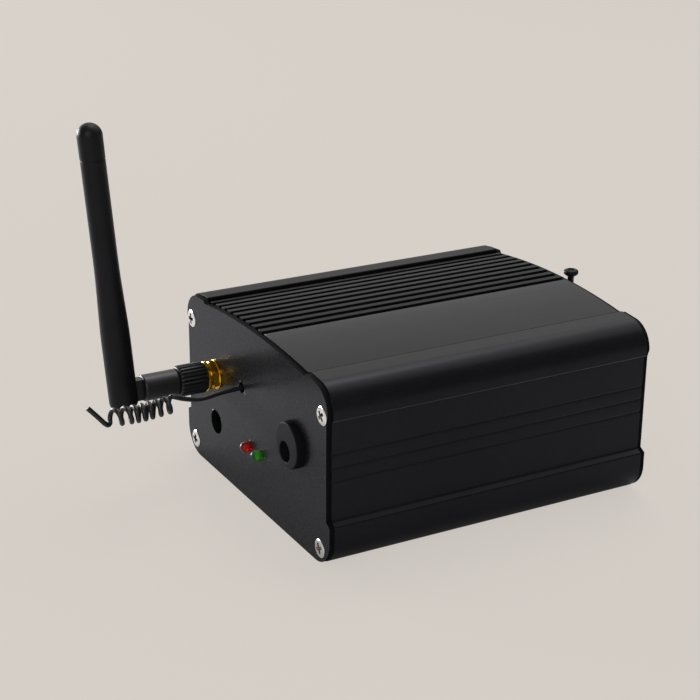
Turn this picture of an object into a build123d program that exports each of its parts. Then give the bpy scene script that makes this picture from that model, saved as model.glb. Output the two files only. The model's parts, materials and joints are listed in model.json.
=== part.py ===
from build123d import *
import os
from math import asin, cos, degrees, pi, radians, sin, sqrt, tan

# LED light engine for a fibre-optic lamp.
# Frame: +X runs along the extrusions to the fibre port, +Z is up, and the origin is the
# middle of the case's underside. All sizes are in millimetres.

os.makedirs("parts", exist_ok=True)

# ---- Case: two extrusions between two end plates ----
CASE_LENGTH = 103.8
PLATE = 1.5
END = CASE_LENGTH / 2
FACE = END + PLATE

ROOF_Z = 55.5
CROWN_R = 245.0
CROWN_HALF = 32.1
NOTCH_Z = 52.0
RIDGE_Y = 33.6
SHOULDER_Y = 38.3
SHOULDER_Z = 45.5
SHOULDER_R = 8.3
SHOULDER_SLOPE = 4.0
SPLIT_Z = 44.0
ROOF_DEPTH = 4.9
SHOULDER_WALL = 2.3

FIN_GROOVES = 9
FIN_PITCH = 4.15
FIRST_GROOVE_Y = 29.0
GROOVE_WIDTH = 1.8
GROOVE_DEPTH = 2.6

WALL_Y = 45.65
FOOT_Y = 47.5
FLARE_LOW = 13.3
FLARE_HIGH = 14.4
FOOT_R = 8.6
WALL = 2.2
LIP_WALL = 1.2
TONGUE_Y = 44.4
TONGUE_INNER_Y = 43.2
TONGUE_DROP = 2.8
SIDE_GROOVES = (34.2, 30.15, 26.1)
SIDE_GROOVE_WIDTH = 1.0
SIDE_GROOVE_DEPTH = 0.35

PORT_TOP = (42.7, 44.9)
PORT_LOW = (41.7, 4.9)
PORT_BOSS_R = 3.0
PORT_SLIT = 1.4
SCREW_BORE_R = 1.5

BOARD_Z = 8.0
BOARD = 1.6
BOARD_TOP = BOARD_Z + BOARD
BOARD_HALF = 43.1
RAIL_REACH = 41.7

# The end plates stand a little inside the extrusions' outline.
PLATE_SIDE_INSET = 0.3
PLATE_FOOT_INSET = 0.15
PLATE_ROOF_INSET = 0.6
PLATE_SHOULDER_INSET = 0.5
PLATE_STEP = 0.8

# ---- M3 screws ----
SCREW_R = 1.46
HEAD_R = 2.75
HEAD_PROUD = 0.2
SINK_R = 2.8
HOLE_R = 1.6
RECESS_SPAN = 3.0
RECESS_WIDTH = 0.7
RECESS_DEPTH = 1.1

# ---- Antenna end: places on the plate, as (Y, Z) ----
JACK_AT = (25.8, 32.4)
SPARE_HOLE_AT = (26.0, 16.6)
SPARE_HOLE_R = 3.7
LED_Y = 3.55
LED_Z = 17.5
AERIAL_HOLE_AT = (7.45, 34.7)
AERIAL_HOLE_R = 1.6
AERIAL_Y = 8.05
AERIAL_Z = 34.4
AERIAL_R = 0.725
BUSHING_AT = (-25.7, 29.9)
BUSHING_R = 6.9
BUSHING_PROUD = 2.2
BUSHING_BODY_R = 6.1
LEAD_BORE_AT = (-24.7, 27.6)
LEAD_BORE_R = 3.05

# ---- Antenna: distances outward from the plate's face ----
THREAD_R = 3.1
THREAD_END = 9.5
MOUTH_DEPTH = 1.9
MOUTH_R = 2.3
DIELECTRIC_R = 2.03
CONTACT_R = 0.64
CONTACT_BORE_R = 0.5
PIN_R = 0.45
NUT_FLAT = 8.0
PLUG_SHOULDER_R = 3.0
PLUG_NECK_R = 2.4
BARREL_START = 12.9
BARREL_END = 24.0
BARREL_R = 4.0
NECK_END = 15.2
SLEEVE_R = 4.75
SLEEVE_END = 12.8
SLEEVE_FLUTES = 24
FLUTE = 0.5
HINGE_OUT = 30.0
TONGUE_THICK = 3.0
KNUCKLE_R = 3.3
HINGE_PIN_R = 1.0
RUNNING = 0.05

BLADE_LEAN = 4.6
BLADE_FOOT = 5.15
BLADE_R_LOW = 4.28
BLADE_R_HIGH = 3.58
BLADE_TAPER_FROM = 19.5
BLADE_TAPER_TO = 38.0
CAP_FROM = 71.4
CAP_R = 3.65
DOME_FROM = 78.0
SLOT_HALF = 1.7
SLOT_R = 3.45
FOOT_ROUND = 2.0

# ---- Fibre end ----
PORT_Z = 28.0
PORT_BORE_R = 10.0
COLLAR_R = 15.0
COLLAR_END = 62.0
PORT_TUBE_R = 12.0
PORT_TUBE_START = 36.0
PORT_BORE_START = 37.0
RING_NUT = 3.5
CLAMP_X = 57.7
CLAMP_TOP = 56.2
CLAMP_R = 1.25
CLAMP_NECK_R = 1.0
CLAMP_HEAD_R = 2.3

# ---- Light path ----
BRACKET_FRONT = 14.0
BRACKET_WALL = 6.0
BRACKET_HALF = 22.0
BRACKET_TOP = 44.0
BRACKET_FOOT = 22.0
LED_BOARD = 1.6
LENS_SEAT = 24.8
LENS_RIM = 2.2
LENS_R = 11.5
LENS_BULGE = 5.0

# ---- Coiled aerial wire ----
COIL_START = 75.7
COIL_END = 96.5
COIL_R = 2.85
COIL_Z = 33.3


def at_jack(outward):
    """Return the point on the antenna's axis at a distance outward of the plate."""
    return (-FACE - outward, JACK_AT[0], JACK_AT[1])


def spun(origin, outward, profile, mode=Mode.ADD):
    """Turn a closed profile of (along, radius) points about the line through origin."""
    side = (0, 1, 0) if outward[1] == 0 else (0, 0, 1)
    with BuildSketch(Plane(origin=origin, x_dir=outward, z_dir=side)) as section:
        with BuildLine():
            Polyline(*profile, close=True)
        make_face()
    revolve(section.sketch, axis=Axis(origin, outward), mode=mode)


def countersunk_screw(origin, outward, length):
    """Make a countersunk M3 screw whose head stands a little proud of origin."""
    cone = HEAD_R - SCREW_R
    tip = SCREW_R - 0.4
    rim = 0.05
    spun(
        origin,
        outward,
        [
            (HEAD_PROUD, 0),
            (HEAD_PROUD, HEAD_R - HEAD_PROUD),
            (rim, HEAD_R),
            (-rim, HEAD_R),
            (-rim - cone, SCREW_R),
            (0.4 - length, SCREW_R),
            (-length, tip),
            (-length, 0),
        ],
    )
    top = tuple(o + d * HEAD_PROUD for o, d in zip(origin, outward))
    cross_recess(top, outward)


def pan_screw(origin, outward, length, head):
    """Make a pan-head M3 screw whose head sits on origin."""
    spun(
        origin,
        outward,
        [
            (head, 0),
            (head, HEAD_R - 0.6),
            (head - 0.6, HEAD_R),
            (0, HEAD_R),
            (0, SCREW_R),
            (-length, SCREW_R),
            (-length, 0),
        ],
    )
    tip = tuple(o + d * head for o, d in zip(origin, outward))
    cross_recess(tip, outward)


def cross_recess(origin, outward):
    """Sink a tapered cross recess into a screw head."""
    with BuildSketch(Plane(origin=origin, z_dir=outward)) as cross:
        Rectangle(RECESS_SPAN, RECESS_WIDTH)
        Rectangle(RECESS_WIDTH, RECESS_SPAN)
    extrude(cross.sketch, amount=-RECESS_DEPTH, taper=12, mode=Mode.SUBTRACT)


def tube_along(points, radii, tube_r):
    """Sweep a round cord along straight runs and arcs, and return its length."""
    with BuildLine() as route:
        FilletPolyline(*points, radius=radii)
    start = Plane(origin=route.line @ 0, z_dir=route.line % 0)
    with BuildSketch(start) as round_section:
        Circle(tube_r)
    sweep(round_section.sketch, path=route.line)
    return route.wire().length


def bend_radii(points, share=0.45):
    """Work out the largest radius that each corner of a route has room for."""
    corners = [Vector(*p) for p in points]
    radii = []
    for before, corner, after in zip(corners, corners[1:], corners[2:]):
        first = corner - before
        second = after - corner
        turn = radians(first.get_angle(second))
        radii.append(share * min(first.length, second.length) / tan(turn / 2))
    return radii


def report_cord(name, part, length, tube_r, radii):
    """Print a cord's length, its bends, and its volume against section times length."""
    expected = pi * tube_r**2 * length
    bends = ", ".join(f"{radius:.1f}" for radius in radii)
    print(f"{name}: length {length:.2f}, radii {bends}, volume {part.volume / expected:.4f}")


def cap_arc(base, base_r, height):
    """Draw half of a spherical cap's arc, from its rim to its top on the x axis."""
    ball_r = (base_r**2 + height**2) / (2 * height)
    CenterArc((base + height - ball_r, 0), ball_r, 0, degrees(asin(base_r / ball_r)))


def crown_z(y, inset=0.0):
    """Return the height of the crown arc at a distance y from the middle."""
    return ROOF_Z - CROWN_R + sqrt((CROWN_R - inset) ** 2 - y**2)


def half_roof(inset, shoulder_inset, notch_floor):
    """Draw the +Y half of the roof's outline and return the point where its side begins."""
    edge_y = CROWN_HALF - inset
    crown_half_angle = degrees(asin(edge_y / (CROWN_R - inset)))
    crown_centre = (0, ROOF_Z - CROWN_R)
    CenterArc(crown_centre, CROWN_R - inset, 90 - crown_half_angle, crown_half_angle)
    radius = SHOULDER_R - shoulder_inset
    CenterArc((SHOULDER_Y, SHOULDER_Z), radius, 0, 90 - SHOULDER_SLOPE)
    slope = radians(SHOULDER_SLOPE)
    bend = (SHOULDER_Y + radius * sin(slope), SHOULDER_Z + radius * cos(slope))
    ridge_z = bend[1] + (bend[0] - RIDGE_Y) * tan(slope)
    Polyline((edge_y, crown_z(edge_y, inset)), *notch_floor, (RIDGE_Y, ridge_z), bend)
    return (SHOULDER_Y + radius, SHOULDER_Z)


def both_sides(spot):
    """Return a (Y, Z) spot and its mirror image across the middle of the case."""
    return [spot, (-spot[0], spot[1])]


# ---------------------------------------------------------------- top cover
with BuildPart() as top_cover:
    with BuildSketch(Plane.YZ.offset(-END)) as cover_section:
        with BuildLine():
            side_start = half_roof(0, 0, [(CROWN_HALF, NOTCH_Z), (RIDGE_Y, NOTCH_Z)])
            inner_r = SHOULDER_R - SHOULDER_WALL
            ceiling_r = CROWN_R - ROOF_DEPTH
            ceiling_half = RIDGE_Y + 1.8
            ceiling_angle = degrees(asin(ceiling_half / ceiling_r))
            CenterArc((0, ROOF_Z - CROWN_R), ceiling_r, 90 - ceiling_angle, ceiling_angle)
            CenterArc((SHOULDER_Y, SHOULDER_Z), inner_r, 0, 90)
            Polyline(
                (ceiling_half, crown_z(ceiling_half, ROOF_DEPTH)),
                (ceiling_half + 1.0, SHOULDER_Z + inner_r),
                (SHOULDER_Y, SHOULDER_Z + inner_r),
            )
            Polyline(
                (SHOULDER_Y + inner_r, SHOULDER_Z),
                (TONGUE_INNER_Y, SPLIT_Z + 0.4),
                (TONGUE_INNER_Y, SPLIT_Z - TONGUE_DROP),
                (TONGUE_Y, SPLIT_Z - TONGUE_DROP),
                (TONGUE_Y, SPLIT_Z),
                (side_start[0], SPLIT_Z),
                side_start,
            )
            Line((0, ROOF_Z), (0, ROOF_Z - ROOF_DEPTH))
        make_face()
        mirror(about=Plane.YZ)
        ridges = cover_section.vertices().filter_by(
            lambda v: abs(abs(v.X) - RIDGE_Y) < 0.01 and v.Y > ROOF_Z - 2
        )
        fillet(ridges, radius=0.4)
        for groove in range(FIN_GROOVES):
            groove_y = FIRST_GROOVE_Y - groove * FIN_PITCH
            groove_floor = crown_z(groove_y) - GROOVE_DEPTH
            with Locations((groove_y, groove_floor + GROOVE_DEPTH)):
                Rectangle(GROOVE_WIDTH, 2 * GROOVE_DEPTH, mode=Mode.SUBTRACT)
        tips = cover_section.vertices().filter_by(
            lambda v: abs(v.X) < CROWN_HALF - 0.5 and abs(v.Y - crown_z(v.X)) < 0.01
        )
        chamfer(tips, length=0.2)
        with Locations(*both_sides(PORT_TOP)):
            Circle(PORT_BOSS_R)
        with Locations(*both_sides((TONGUE_Y + 2, SPLIT_Z - 2))):
            Rectangle(4, 4, mode=Mode.SUBTRACT)
        with Locations(*both_sides((PORT_TOP[0] - PORT_BOSS_R / 2 - 0.5, PORT_TOP[1]))):
            Rectangle(PORT_BOSS_R + 1, PORT_SLIT, mode=Mode.SUBTRACT)
        with Locations(*both_sides(PORT_TOP)):
            Circle(SCREW_BORE_R, mode=Mode.SUBTRACT)
    extrude(amount=CASE_LENGTH)
top_cover.part.label = "top_cover"
export_step(top_cover.part, "parts/top_cover.step")

# ---------------------------------------------------------------- base tray
BRACKET_SCREWS = [(3.0, -14.0), (3.0, 14.0)]
BRACKET_SINK = 0.3

with BuildPart() as base_tray:
    with BuildSketch(Plane.YZ.offset(-END)) as tray_section:
        with BuildLine():
            Polyline((0, 0), (FOOT_Y - FOOT_R, 0))
            CenterArc((FOOT_Y - FOOT_R, FOOT_R), FOOT_R, -90, 90)
            Polyline(
                (FOOT_Y, FOOT_R),
                (FOOT_Y, FLARE_LOW),
                (WALL_Y, FLARE_HIGH),
                (WALL_Y, SPLIT_Z),
                (WALL_Y - LIP_WALL, SPLIT_Z),
                (WALL_Y - LIP_WALL, SPLIT_Z - TONGUE_DROP - 0.4),
                (WALL_Y - WALL, SPLIT_Z - TONGUE_DROP - 1.4),
                (WALL_Y - WALL, FLARE_HIGH - 0.9),
                (FOOT_Y - WALL, FLARE_LOW - 0.9),
                (FOOT_Y - WALL, FOOT_R),
            )
            CenterArc((FOOT_Y - FOOT_R, FOOT_R), FOOT_R - WALL, -90, 90)
            Polyline((FOOT_Y - FOOT_R, WALL), (0, WALL), (0, 0))
        make_face()
        mirror(about=Plane.YZ)
        for groove_z in SIDE_GROOVES:
            with Locations(*both_sides((WALL_Y, groove_z))):
                Rectangle(2 * SIDE_GROOVE_DEPTH, SIDE_GROOVE_WIDTH, mode=Mode.SUBTRACT)
        rail_middle = (RAIL_REACH + FOOT_Y - WALL + 0.5) / 2
        rail_width = FOOT_Y - WALL + 0.5 - RAIL_REACH
        for rail_z in (BOARD_Z - 0.5, BOARD_TOP + 0.5):
            with Locations(*both_sides((rail_middle, rail_z))):
                Rectangle(rail_width, 1.0)
        with Locations(*both_sides(PORT_LOW)):
            Circle(PORT_BOSS_R - 0.2)
        with Locations(*both_sides(PORT_LOW)):
            Circle(SCREW_BORE_R, mode=Mode.SUBTRACT)
    extrude(amount=CASE_LENGTH)
    underside = Plane(origin=(0, 0, 0), x_dir=(1, 0, 0), z_dir=(0, 0, -1))
    foot_sink_r = SINK_R + BRACKET_SINK
    with Locations(*[underside * Location((x, -y, 0)) for x, y in BRACKET_SCREWS]):
        CounterSinkHole(
            radius=HOLE_R, counter_sink_radius=foot_sink_r, depth=WALL, counter_sink_angle=90
        )
base_tray.part.label = "base_tray"
export_step(base_tray.part, "parts/base_tray.step")

# ---------------------------------------------------------------- end plates
PLATE_SCREWS = both_sides(PORT_TOP) + both_sides(PORT_LOW)


def plate_outline():
    """Draw the end plate's face: the case's outline, drawn in a little all round."""
    side_y = WALL_Y - PLATE_SIDE_INSET
    foot_y = FOOT_Y - PLATE_FOOT_INSET
    step_y = RIDGE_Y - PLATE_STEP
    step = [(step_y, crown_z(step_y, PLATE_ROOF_INSET))]
    with BuildSketch() as outline:
        with BuildLine():
            side_top = half_roof(PLATE_ROOF_INSET, PLATE_SHOULDER_INSET, step)
            Polyline(
                side_top,
                (side_y, SPLIT_Z - 0.5),
                (side_y, FLARE_HIGH),
                (foot_y, FLARE_LOW),
                (foot_y, FOOT_R),
            )
            foot_centre = (FOOT_Y - FOOT_R, FOOT_R)
            CenterArc(foot_centre, FOOT_R - PLATE_FOOT_INSET, -90, 90)
            Polyline(
                (FOOT_Y - FOOT_R, PLATE_FOOT_INSET),
                (0, PLATE_FOOT_INSET),
                (0, ROOF_Z - PLATE_ROOF_INSET),
            )
        make_face()
        mirror(about=Plane.YZ)
    return outline.sketch


with BuildPart() as antenna_end_plate:
    with BuildSketch(Plane.YZ.offset(-FACE)):
        add(plate_outline())
        with Locations(JACK_AT):
            Circle(THREAD_R + 0.1, mode=Mode.SUBTRACT)
        with Locations(SPARE_HOLE_AT):
            Circle(SPARE_HOLE_R, mode=Mode.SUBTRACT)
        with Locations(*both_sides((LED_Y, LED_Z))):
            Circle(SCREW_BORE_R + 0.1, mode=Mode.SUBTRACT)
        with Locations(AERIAL_HOLE_AT):
            Circle(AERIAL_HOLE_R, mode=Mode.SUBTRACT)
        with Locations(BUSHING_AT):
            Circle(BUSHING_BODY_R + 0.05, mode=Mode.SUBTRACT)
    extrude(amount=PLATE)
    with Locations(*[Plane(origin=(-FACE, y, z), z_dir=(-1, 0, 0)) for y, z in PLATE_SCREWS]):
        CounterSinkHole(
            radius=HOLE_R, counter_sink_radius=SINK_R, depth=PLATE, counter_sink_angle=90
        )
antenna_end_plate.part.label = "antenna_end_plate"
export_step(antenna_end_plate.part, "parts/antenna_end_plate.step")

with BuildPart() as fibre_end_plate:
    with BuildSketch(Plane.YZ.offset(END)):
        add(plate_outline())
        with Locations((0, PORT_Z)):
            Circle(PORT_TUBE_R + 0.05, mode=Mode.SUBTRACT)
    extrude(amount=PLATE)
    with Locations(*[Plane(origin=(FACE, y, z), z_dir=(1, 0, 0)) for y, z in PLATE_SCREWS]):
        CounterSinkHole(
            radius=HOLE_R, counter_sink_radius=SINK_R, depth=PLATE, counter_sink_angle=90
        )
fibre_end_plate.part.label = "fibre_end_plate"
export_step(fibre_end_plate.part, "parts/fibre_end_plate.step")

with BuildPart() as antenna_end_screws:
    for screw_y, screw_z in PLATE_SCREWS:
        countersunk_screw((-FACE, screw_y, screw_z), (-1, 0, 0), 10.0)
antenna_end_screws.part.label = "antenna_end_screws"
export_step(antenna_end_screws.part, "parts/antenna_end_screws.step")

with BuildPart() as fibre_end_screws:
    for screw_y, screw_z in PLATE_SCREWS:
        countersunk_screw((FACE, screw_y, screw_z), (1, 0, 0), 10.0)
fibre_end_screws.part.label = "fibre_end_screws"
export_step(fibre_end_screws.part, "parts/fibre_end_screws.step")

# ---------------------------------------------------------------- lead bushing
BUSHING_INSIDE = 5.0
SNAP_WIDTH = 6.0
SNAP_PROUD = 1.2

with BuildPart() as lead_bushing:
    with BuildSketch(Plane.YZ.offset(-FACE - BUSHING_PROUD)):
        with Locations(BUSHING_AT):
            Circle(BUSHING_R)
    extrude(amount=BUSHING_PROUD)
    fillet(lead_bushing.edges().group_by(Axis.X)[0], radius=0.5)
    with BuildSketch(Plane.YZ.offset(-FACE)):
        with Locations(BUSHING_AT):
            Circle(BUSHING_BODY_R)
    extrude(amount=PLATE + BUSHING_INSIDE)
    with BuildSketch(Plane.YZ.offset(-END)):
        with Locations(BUSHING_AT):
            with GridLocations(1.0, 2 * BUSHING_BODY_R, 1, 2):
                Rectangle(SNAP_WIDTH, SNAP_PROUD)
    extrude(amount=2.0)
    with BuildSketch(Plane.YZ.offset(-FACE - BUSHING_PROUD)):
        with Locations(LEAD_BORE_AT):
            Circle(LEAD_BORE_R)
    extrude(amount=BUSHING_PROUD + PLATE + BUSHING_INSIDE, mode=Mode.SUBTRACT)
lead_bushing.part.label = "lead_bushing"
export_step(lead_bushing.part, "parts/lead_bushing.step")

# ---------------------------------------------------------------- indicator LEDs
LENS3_R = 1.5
LED_PROUD = 2.6
LED_FLANGE_R = 1.9
LED_FLANGE = 0.8
LEG = 0.5
LEG_APART = 1.27
LEG_BEND_X = -45.0


def indicator(led_y):
    """Make a 3 mm LED behind the plate with its legs bent down to the board."""
    front = (-END, led_y, LED_Z)
    shoulder = PLATE + LED_PROUD - LENS3_R
    with BuildSketch(Plane(origin=front, x_dir=(-1, 0, 0), z_dir=(0, 1, 0))) as lamp:
        with BuildLine():
            Polyline(
                (shoulder, LENS3_R),
                (0, LENS3_R),
                (0, LED_FLANGE_R),
                (-LED_FLANGE, LED_FLANGE_R),
                (-LED_FLANGE, 0),
                (shoulder + LENS3_R, 0),
            )
            CenterArc((shoulder, 0), LENS3_R, 0, 90)
        make_face()
    revolve(lamp.sketch, axis=Axis(front, (-1, 0, 0)))
    for leg_y in (led_y - LEG_APART, led_y + LEG_APART):
        with BuildSketch(Plane.XZ.offset(-leg_y)) as leg:
            with BuildLine():
                back = -END + LED_FLANGE - 0.1
                Polyline(
                    (back, LED_Z + LEG / 2),
                    (LEG_BEND_X + LEG / 2, LED_Z + LEG / 2),
                    (LEG_BEND_X + LEG / 2, BOARD_TOP),
                    (LEG_BEND_X - LEG / 2, BOARD_TOP),
                    (LEG_BEND_X - LEG / 2, LED_Z - LEG / 2),
                    (back, LED_Z - LEG / 2),
                    close=True,
                )
            make_face()
        extrude(leg.sketch, amount=LEG / 2, both=True)


with BuildPart() as red_led:
    indicator(LED_Y)
red_led.part.label = "red_led"
export_step(red_led.part, "parts/red_led.step")

with BuildPart() as green_led:
    indicator(-LED_Y)
green_led.part.label = "green_led"
export_step(green_led.part, "parts/green_led.step")

# ---------------------------------------------------------------- antenna jack
JACK_FLANGE = 2.0
JACK_TAIL = 7.5
MOUTH_FLOOR = THREAD_END - MOUTH_DEPTH

with BuildPart() as sma_jack:
    with BuildSketch(Plane.YZ.offset(-END)):
        with Locations(JACK_AT):
            RegularPolygon(NUT_FLAT / 2, 6, major_radius=False)
    extrude(amount=JACK_FLANGE)
    spun(
        at_jack(0),
        (-1, 0, 0),
        [
            (-PLATE - 0.2, 0),
            (-PLATE - 0.2, THREAD_R),
            (THREAD_END - 0.3, THREAD_R),
            (THREAD_END, THREAD_R - 0.3),
            (THREAD_END, 0),
        ],
    )
    spun(
        at_jack(0),
        (-1, 0, 0),
        [
            (-PLATE, 0),
            (-PLATE, 2.4),
            (-PLATE - JACK_TAIL, 2.4),
            (-PLATE - JACK_TAIL, 0),
        ],
    )
    spun(
        at_jack(0),
        (-1, 0, 0),
        [
            (-PLATE - JACK_TAIL, 0),
            (-PLATE - JACK_TAIL, 0.95),
            (-PLATE - 4.0, 0.95),
            (-PLATE - 4.0, DIELECTRIC_R + 0.02),
            (MOUTH_FLOOR, DIELECTRIC_R + 0.02),
            (MOUTH_FLOOR, MOUTH_R),
            (THREAD_END, MOUTH_R),
            (THREAD_END, 0),
        ],
        mode=Mode.SUBTRACT,
    )
sma_jack.part.label = "sma_jack"
export_step(sma_jack.part, "parts/sma_jack.step")

with BuildPart() as sma_insulator:
    spun(
        at_jack(0),
        (-1, 0, 0),
        [
            (-PLATE - 4.0, CONTACT_R + 0.02),
            (-PLATE - 4.0, DIELECTRIC_R),
            (MOUTH_FLOOR, DIELECTRIC_R),
            (MOUTH_FLOOR, CONTACT_R + 0.02),
        ],
    )
sma_insulator.part.label = "sma_insulator"
export_step(sma_insulator.part, "parts/sma_insulator.step")

with BuildPart() as sma_contact:
    spun(
        at_jack(0),
        (-1, 0, 0),
        [
            (-PLATE - 4.0, 0),
            (-PLATE - 4.0, CONTACT_R),
            (MOUTH_FLOOR, CONTACT_R),
            (MOUTH_FLOOR, CONTACT_BORE_R),
            (MOUTH_FLOOR - 3.2, CONTACT_BORE_R),
            (MOUTH_FLOOR - 3.2, 0),
        ],
    )
sma_contact.part.label = "sma_contact"
export_step(sma_contact.part, "parts/sma_contact.step")

with BuildPart() as sma_washer:
    spun(at_jack(0), (-1, 0, 0), [(0, 3.2), (0, 4.5), (0.5, 4.5), (0.5, 3.2)])
sma_washer.part.label = "sma_washer"
export_step(sma_washer.part, "parts/sma_washer.step")

with BuildPart() as sma_nut:
    with BuildSketch(Plane(origin=at_jack(0.5), z_dir=(-1, 0, 0))):
        RegularPolygon(NUT_FLAT / 2, 6, major_radius=False)
        Circle(THREAD_R + RUNNING, mode=Mode.SUBTRACT)
    extrude(amount=2.0)
sma_nut.part.label = "sma_nut"
export_step(sma_nut.part, "parts/sma_nut.step")

# ---------------------------------------------------------------- antenna coupling
with BuildPart() as coupling_nut:
    spun(
        at_jack(0),
        (-1, 0, 0),
        [
            (3.2, THREAD_R + RUNNING),
            (3.2, 4.2),
            (3.5, 4.5),
            (4.9, 4.5),
            (5.2, 4.2),
            (5.2, 3.9),
            (11.3, 3.9),
            (11.3, PLUG_NECK_R + RUNNING),
            (10.5, PLUG_NECK_R + RUNNING),
            (10.5, THREAD_R + RUNNING),
        ],
    )
coupling_nut.part.label = "coupling_nut"
export_step(coupling_nut.part, "parts/coupling_nut.step")

with BuildPart() as coupling_sleeve:
    spun(
        at_jack(0),
        (-1, 0, 0),
        [
            (5.3, 3.92),
            (5.3, SLEEVE_R - 0.4),
            (5.7, SLEEVE_R),
            (SLEEVE_END - 0.5, SLEEVE_R),
            (SLEEVE_END, SLEEVE_R - 0.5),
            (SLEEVE_END, PLUG_NECK_R + 0.6),
            (11.3, PLUG_NECK_R + 0.6),
            (11.3, 3.92),
        ],
    )
    with BuildSketch(Plane(origin=at_jack(5.3), z_dir=(-1, 0, 0))) as flutes:
        with PolarLocations(SLEEVE_R, SLEEVE_FLUTES):
            Rectangle(FLUTE, FLUTE, rotation=45)
    extrude(flutes.sketch, amount=SLEEVE_END - 5.3, mode=Mode.SUBTRACT)
coupling_sleeve.part.label = "coupling_sleeve"
export_step(coupling_sleeve.part, "parts/coupling_sleeve.step")

# ---------------------------------------------------------------- antenna elbow
with BuildPart() as plug_body:
    spun(
        at_jack(0),
        (-1, 0, 0),
        [
            (MOUTH_FLOOR + 0.1, 1.9),
            (MOUTH_FLOOR + 0.1, MOUTH_R - RUNNING),
            (THREAD_END + 0.1, MOUTH_R - RUNNING),
            (THREAD_END + 0.1, PLUG_SHOULDER_R),
            (10.4, PLUG_SHOULDER_R),
            (10.4, PLUG_NECK_R),
            (NECK_END, PLUG_NECK_R),
            (NECK_END, 1.9),
        ],
    )
plug_body.part.label = "plug_body"
export_step(plug_body.part, "parts/plug_body.step")

with BuildPart() as plug_insulator:
    spun(
        at_jack(0),
        (-1, 0, 0),
        [
            (MOUTH_FLOOR + 0.1, PIN_R + 0.02),
            (MOUTH_FLOOR + 0.1, 1.88),
            (NECK_END, 1.88),
            (NECK_END, PIN_R + 0.02),
        ],
    )
plug_insulator.part.label = "plug_insulator"
export_step(plug_insulator.part, "parts/plug_insulator.step")

with BuildPart() as plug_pin:
    spun(
        at_jack(0),
        (-1, 0, 0),
        [
            (MOUTH_FLOOR - 2.9, 0),
            (MOUTH_FLOOR - 2.6, PIN_R),
            (NECK_END, PIN_R),
            (NECK_END, 0),
        ],
    )
plug_pin.part.label = "plug_pin"
export_step(plug_pin.part, "parts/plug_pin.step")

HINGE = at_jack(HINGE_OUT)

with BuildPart() as antenna_barrel:
    spun(
        at_jack(0),
        (-1, 0, 0),
        [
            (BARREL_START, PLUG_NECK_R + 0.02),
            (BARREL_START, BARREL_R - 0.3),
            (BARREL_START + 0.3, BARREL_R),
            (BARREL_END - 0.6, BARREL_R),
            (BARREL_END, BARREL_R - 0.6),
            (BARREL_END, 0),
            (NECK_END, 0),
            (NECK_END, PLUG_NECK_R + 0.02),
        ],
    )
    with BuildSketch(Plane(origin=HINGE, x_dir=(1, 0, 0), z_dir=(0, -1, 0))) as hinge_tongue:
        Circle(KNUCKLE_R)
        root = HINGE_OUT - BARREL_END + 0.5
        with Locations((root / 2, 0)):
            Rectangle(root, 2 * KNUCKLE_R)
        Circle(HINGE_PIN_R + RUNNING, mode=Mode.SUBTRACT)
    extrude(hinge_tongue.sketch, amount=TONGUE_THICK / 2, both=True)
antenna_barrel.part.label = "antenna_barrel"
export_step(antenna_barrel.part, "parts/antenna_barrel.step")

# ---------------------------------------------------------------- antenna blade
PIN_HALF = 3.6
CAVITY_FROM = 8.0
CAVITY_TO = 60.0
CAVITY_R = 2.35
lean = radians(BLADE_LEAN)
blade_up = (-sin(lean), 0, cos(lean))
blade_plane = Plane(origin=HINGE, x_dir=(cos(lean), 0, sin(lean)), z_dir=(0, -1, 0))
blade_axis = Axis(HINGE, blade_up)

with BuildPart() as antenna_blade:
    with BuildSketch(blade_plane) as blade_half:
        with BuildLine():
            Line((0, -BLADE_FOOT), (BLADE_R_LOW - FOOT_ROUND, -BLADE_FOOT))
            CenterArc((BLADE_R_LOW - FOOT_ROUND, FOOT_ROUND - BLADE_FOOT), FOOT_ROUND, -90, 90)
            Polyline(
                (BLADE_R_LOW, FOOT_ROUND - BLADE_FOOT),
                (BLADE_R_LOW, BLADE_TAPER_FROM),
                (BLADE_R_HIGH, BLADE_TAPER_TO),
                (BLADE_R_HIGH, CAP_FROM - 0.4),
                (BLADE_R_HIGH - 0.12, CAP_FROM),
                (CAP_R, CAP_FROM + 0.3),
                (CAP_R, DOME_FROM),
            )
            CenterArc((0, DOME_FROM), CAP_R, 0, 90)
            Line((0, DOME_FROM + CAP_R), (0, -BLADE_FOOT))
        make_face()
    revolve(blade_half.sketch, axis=blade_axis)
    with BuildSketch(blade_plane) as slot:
        with BuildLine():
            Polyline(
                (0, SLOT_R), (6.0, SLOT_R), (6.0, -7.0), (-SLOT_R, -7.0), (-SLOT_R, 0)
            )
            CenterArc((0, 0), SLOT_R, 90, 90)
        make_face()
    extrude(slot.sketch, amount=SLOT_HALF, both=True, mode=Mode.SUBTRACT)
    with BuildSketch(blade_plane) as pin_hole:
        Circle(HINGE_PIN_R + 0.02)
    extrude(pin_hole.sketch, amount=PIN_HALF + 0.05, both=True, mode=Mode.SUBTRACT)
    with BuildSketch(blade_plane) as cavity:
        with BuildLine():
            Polyline(
                (0, SLOT_R - 0.5),
                (0.8, SLOT_R - 0.5),
                (0.8, CAVITY_FROM),
                (CAVITY_R, CAVITY_FROM),
                (CAVITY_R, CAVITY_TO),
                (0, CAVITY_TO + 1.5),
                close=True,
            )
        make_face()
    revolve(cavity.sketch, axis=blade_axis, mode=Mode.SUBTRACT)
antenna_blade.part.label = "antenna_blade"
export_step(antenna_blade.part, "parts/antenna_blade.step")

with BuildPart() as hinge_pin:
    with BuildSketch(blade_plane) as pin_round:
        Circle(HINGE_PIN_R)
    extrude(pin_round.sketch, amount=PIN_HALF, both=True)
hinge_pin.part.label = "hinge_pin"
export_step(hinge_pin.part, "parts/hinge_pin.step")

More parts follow.
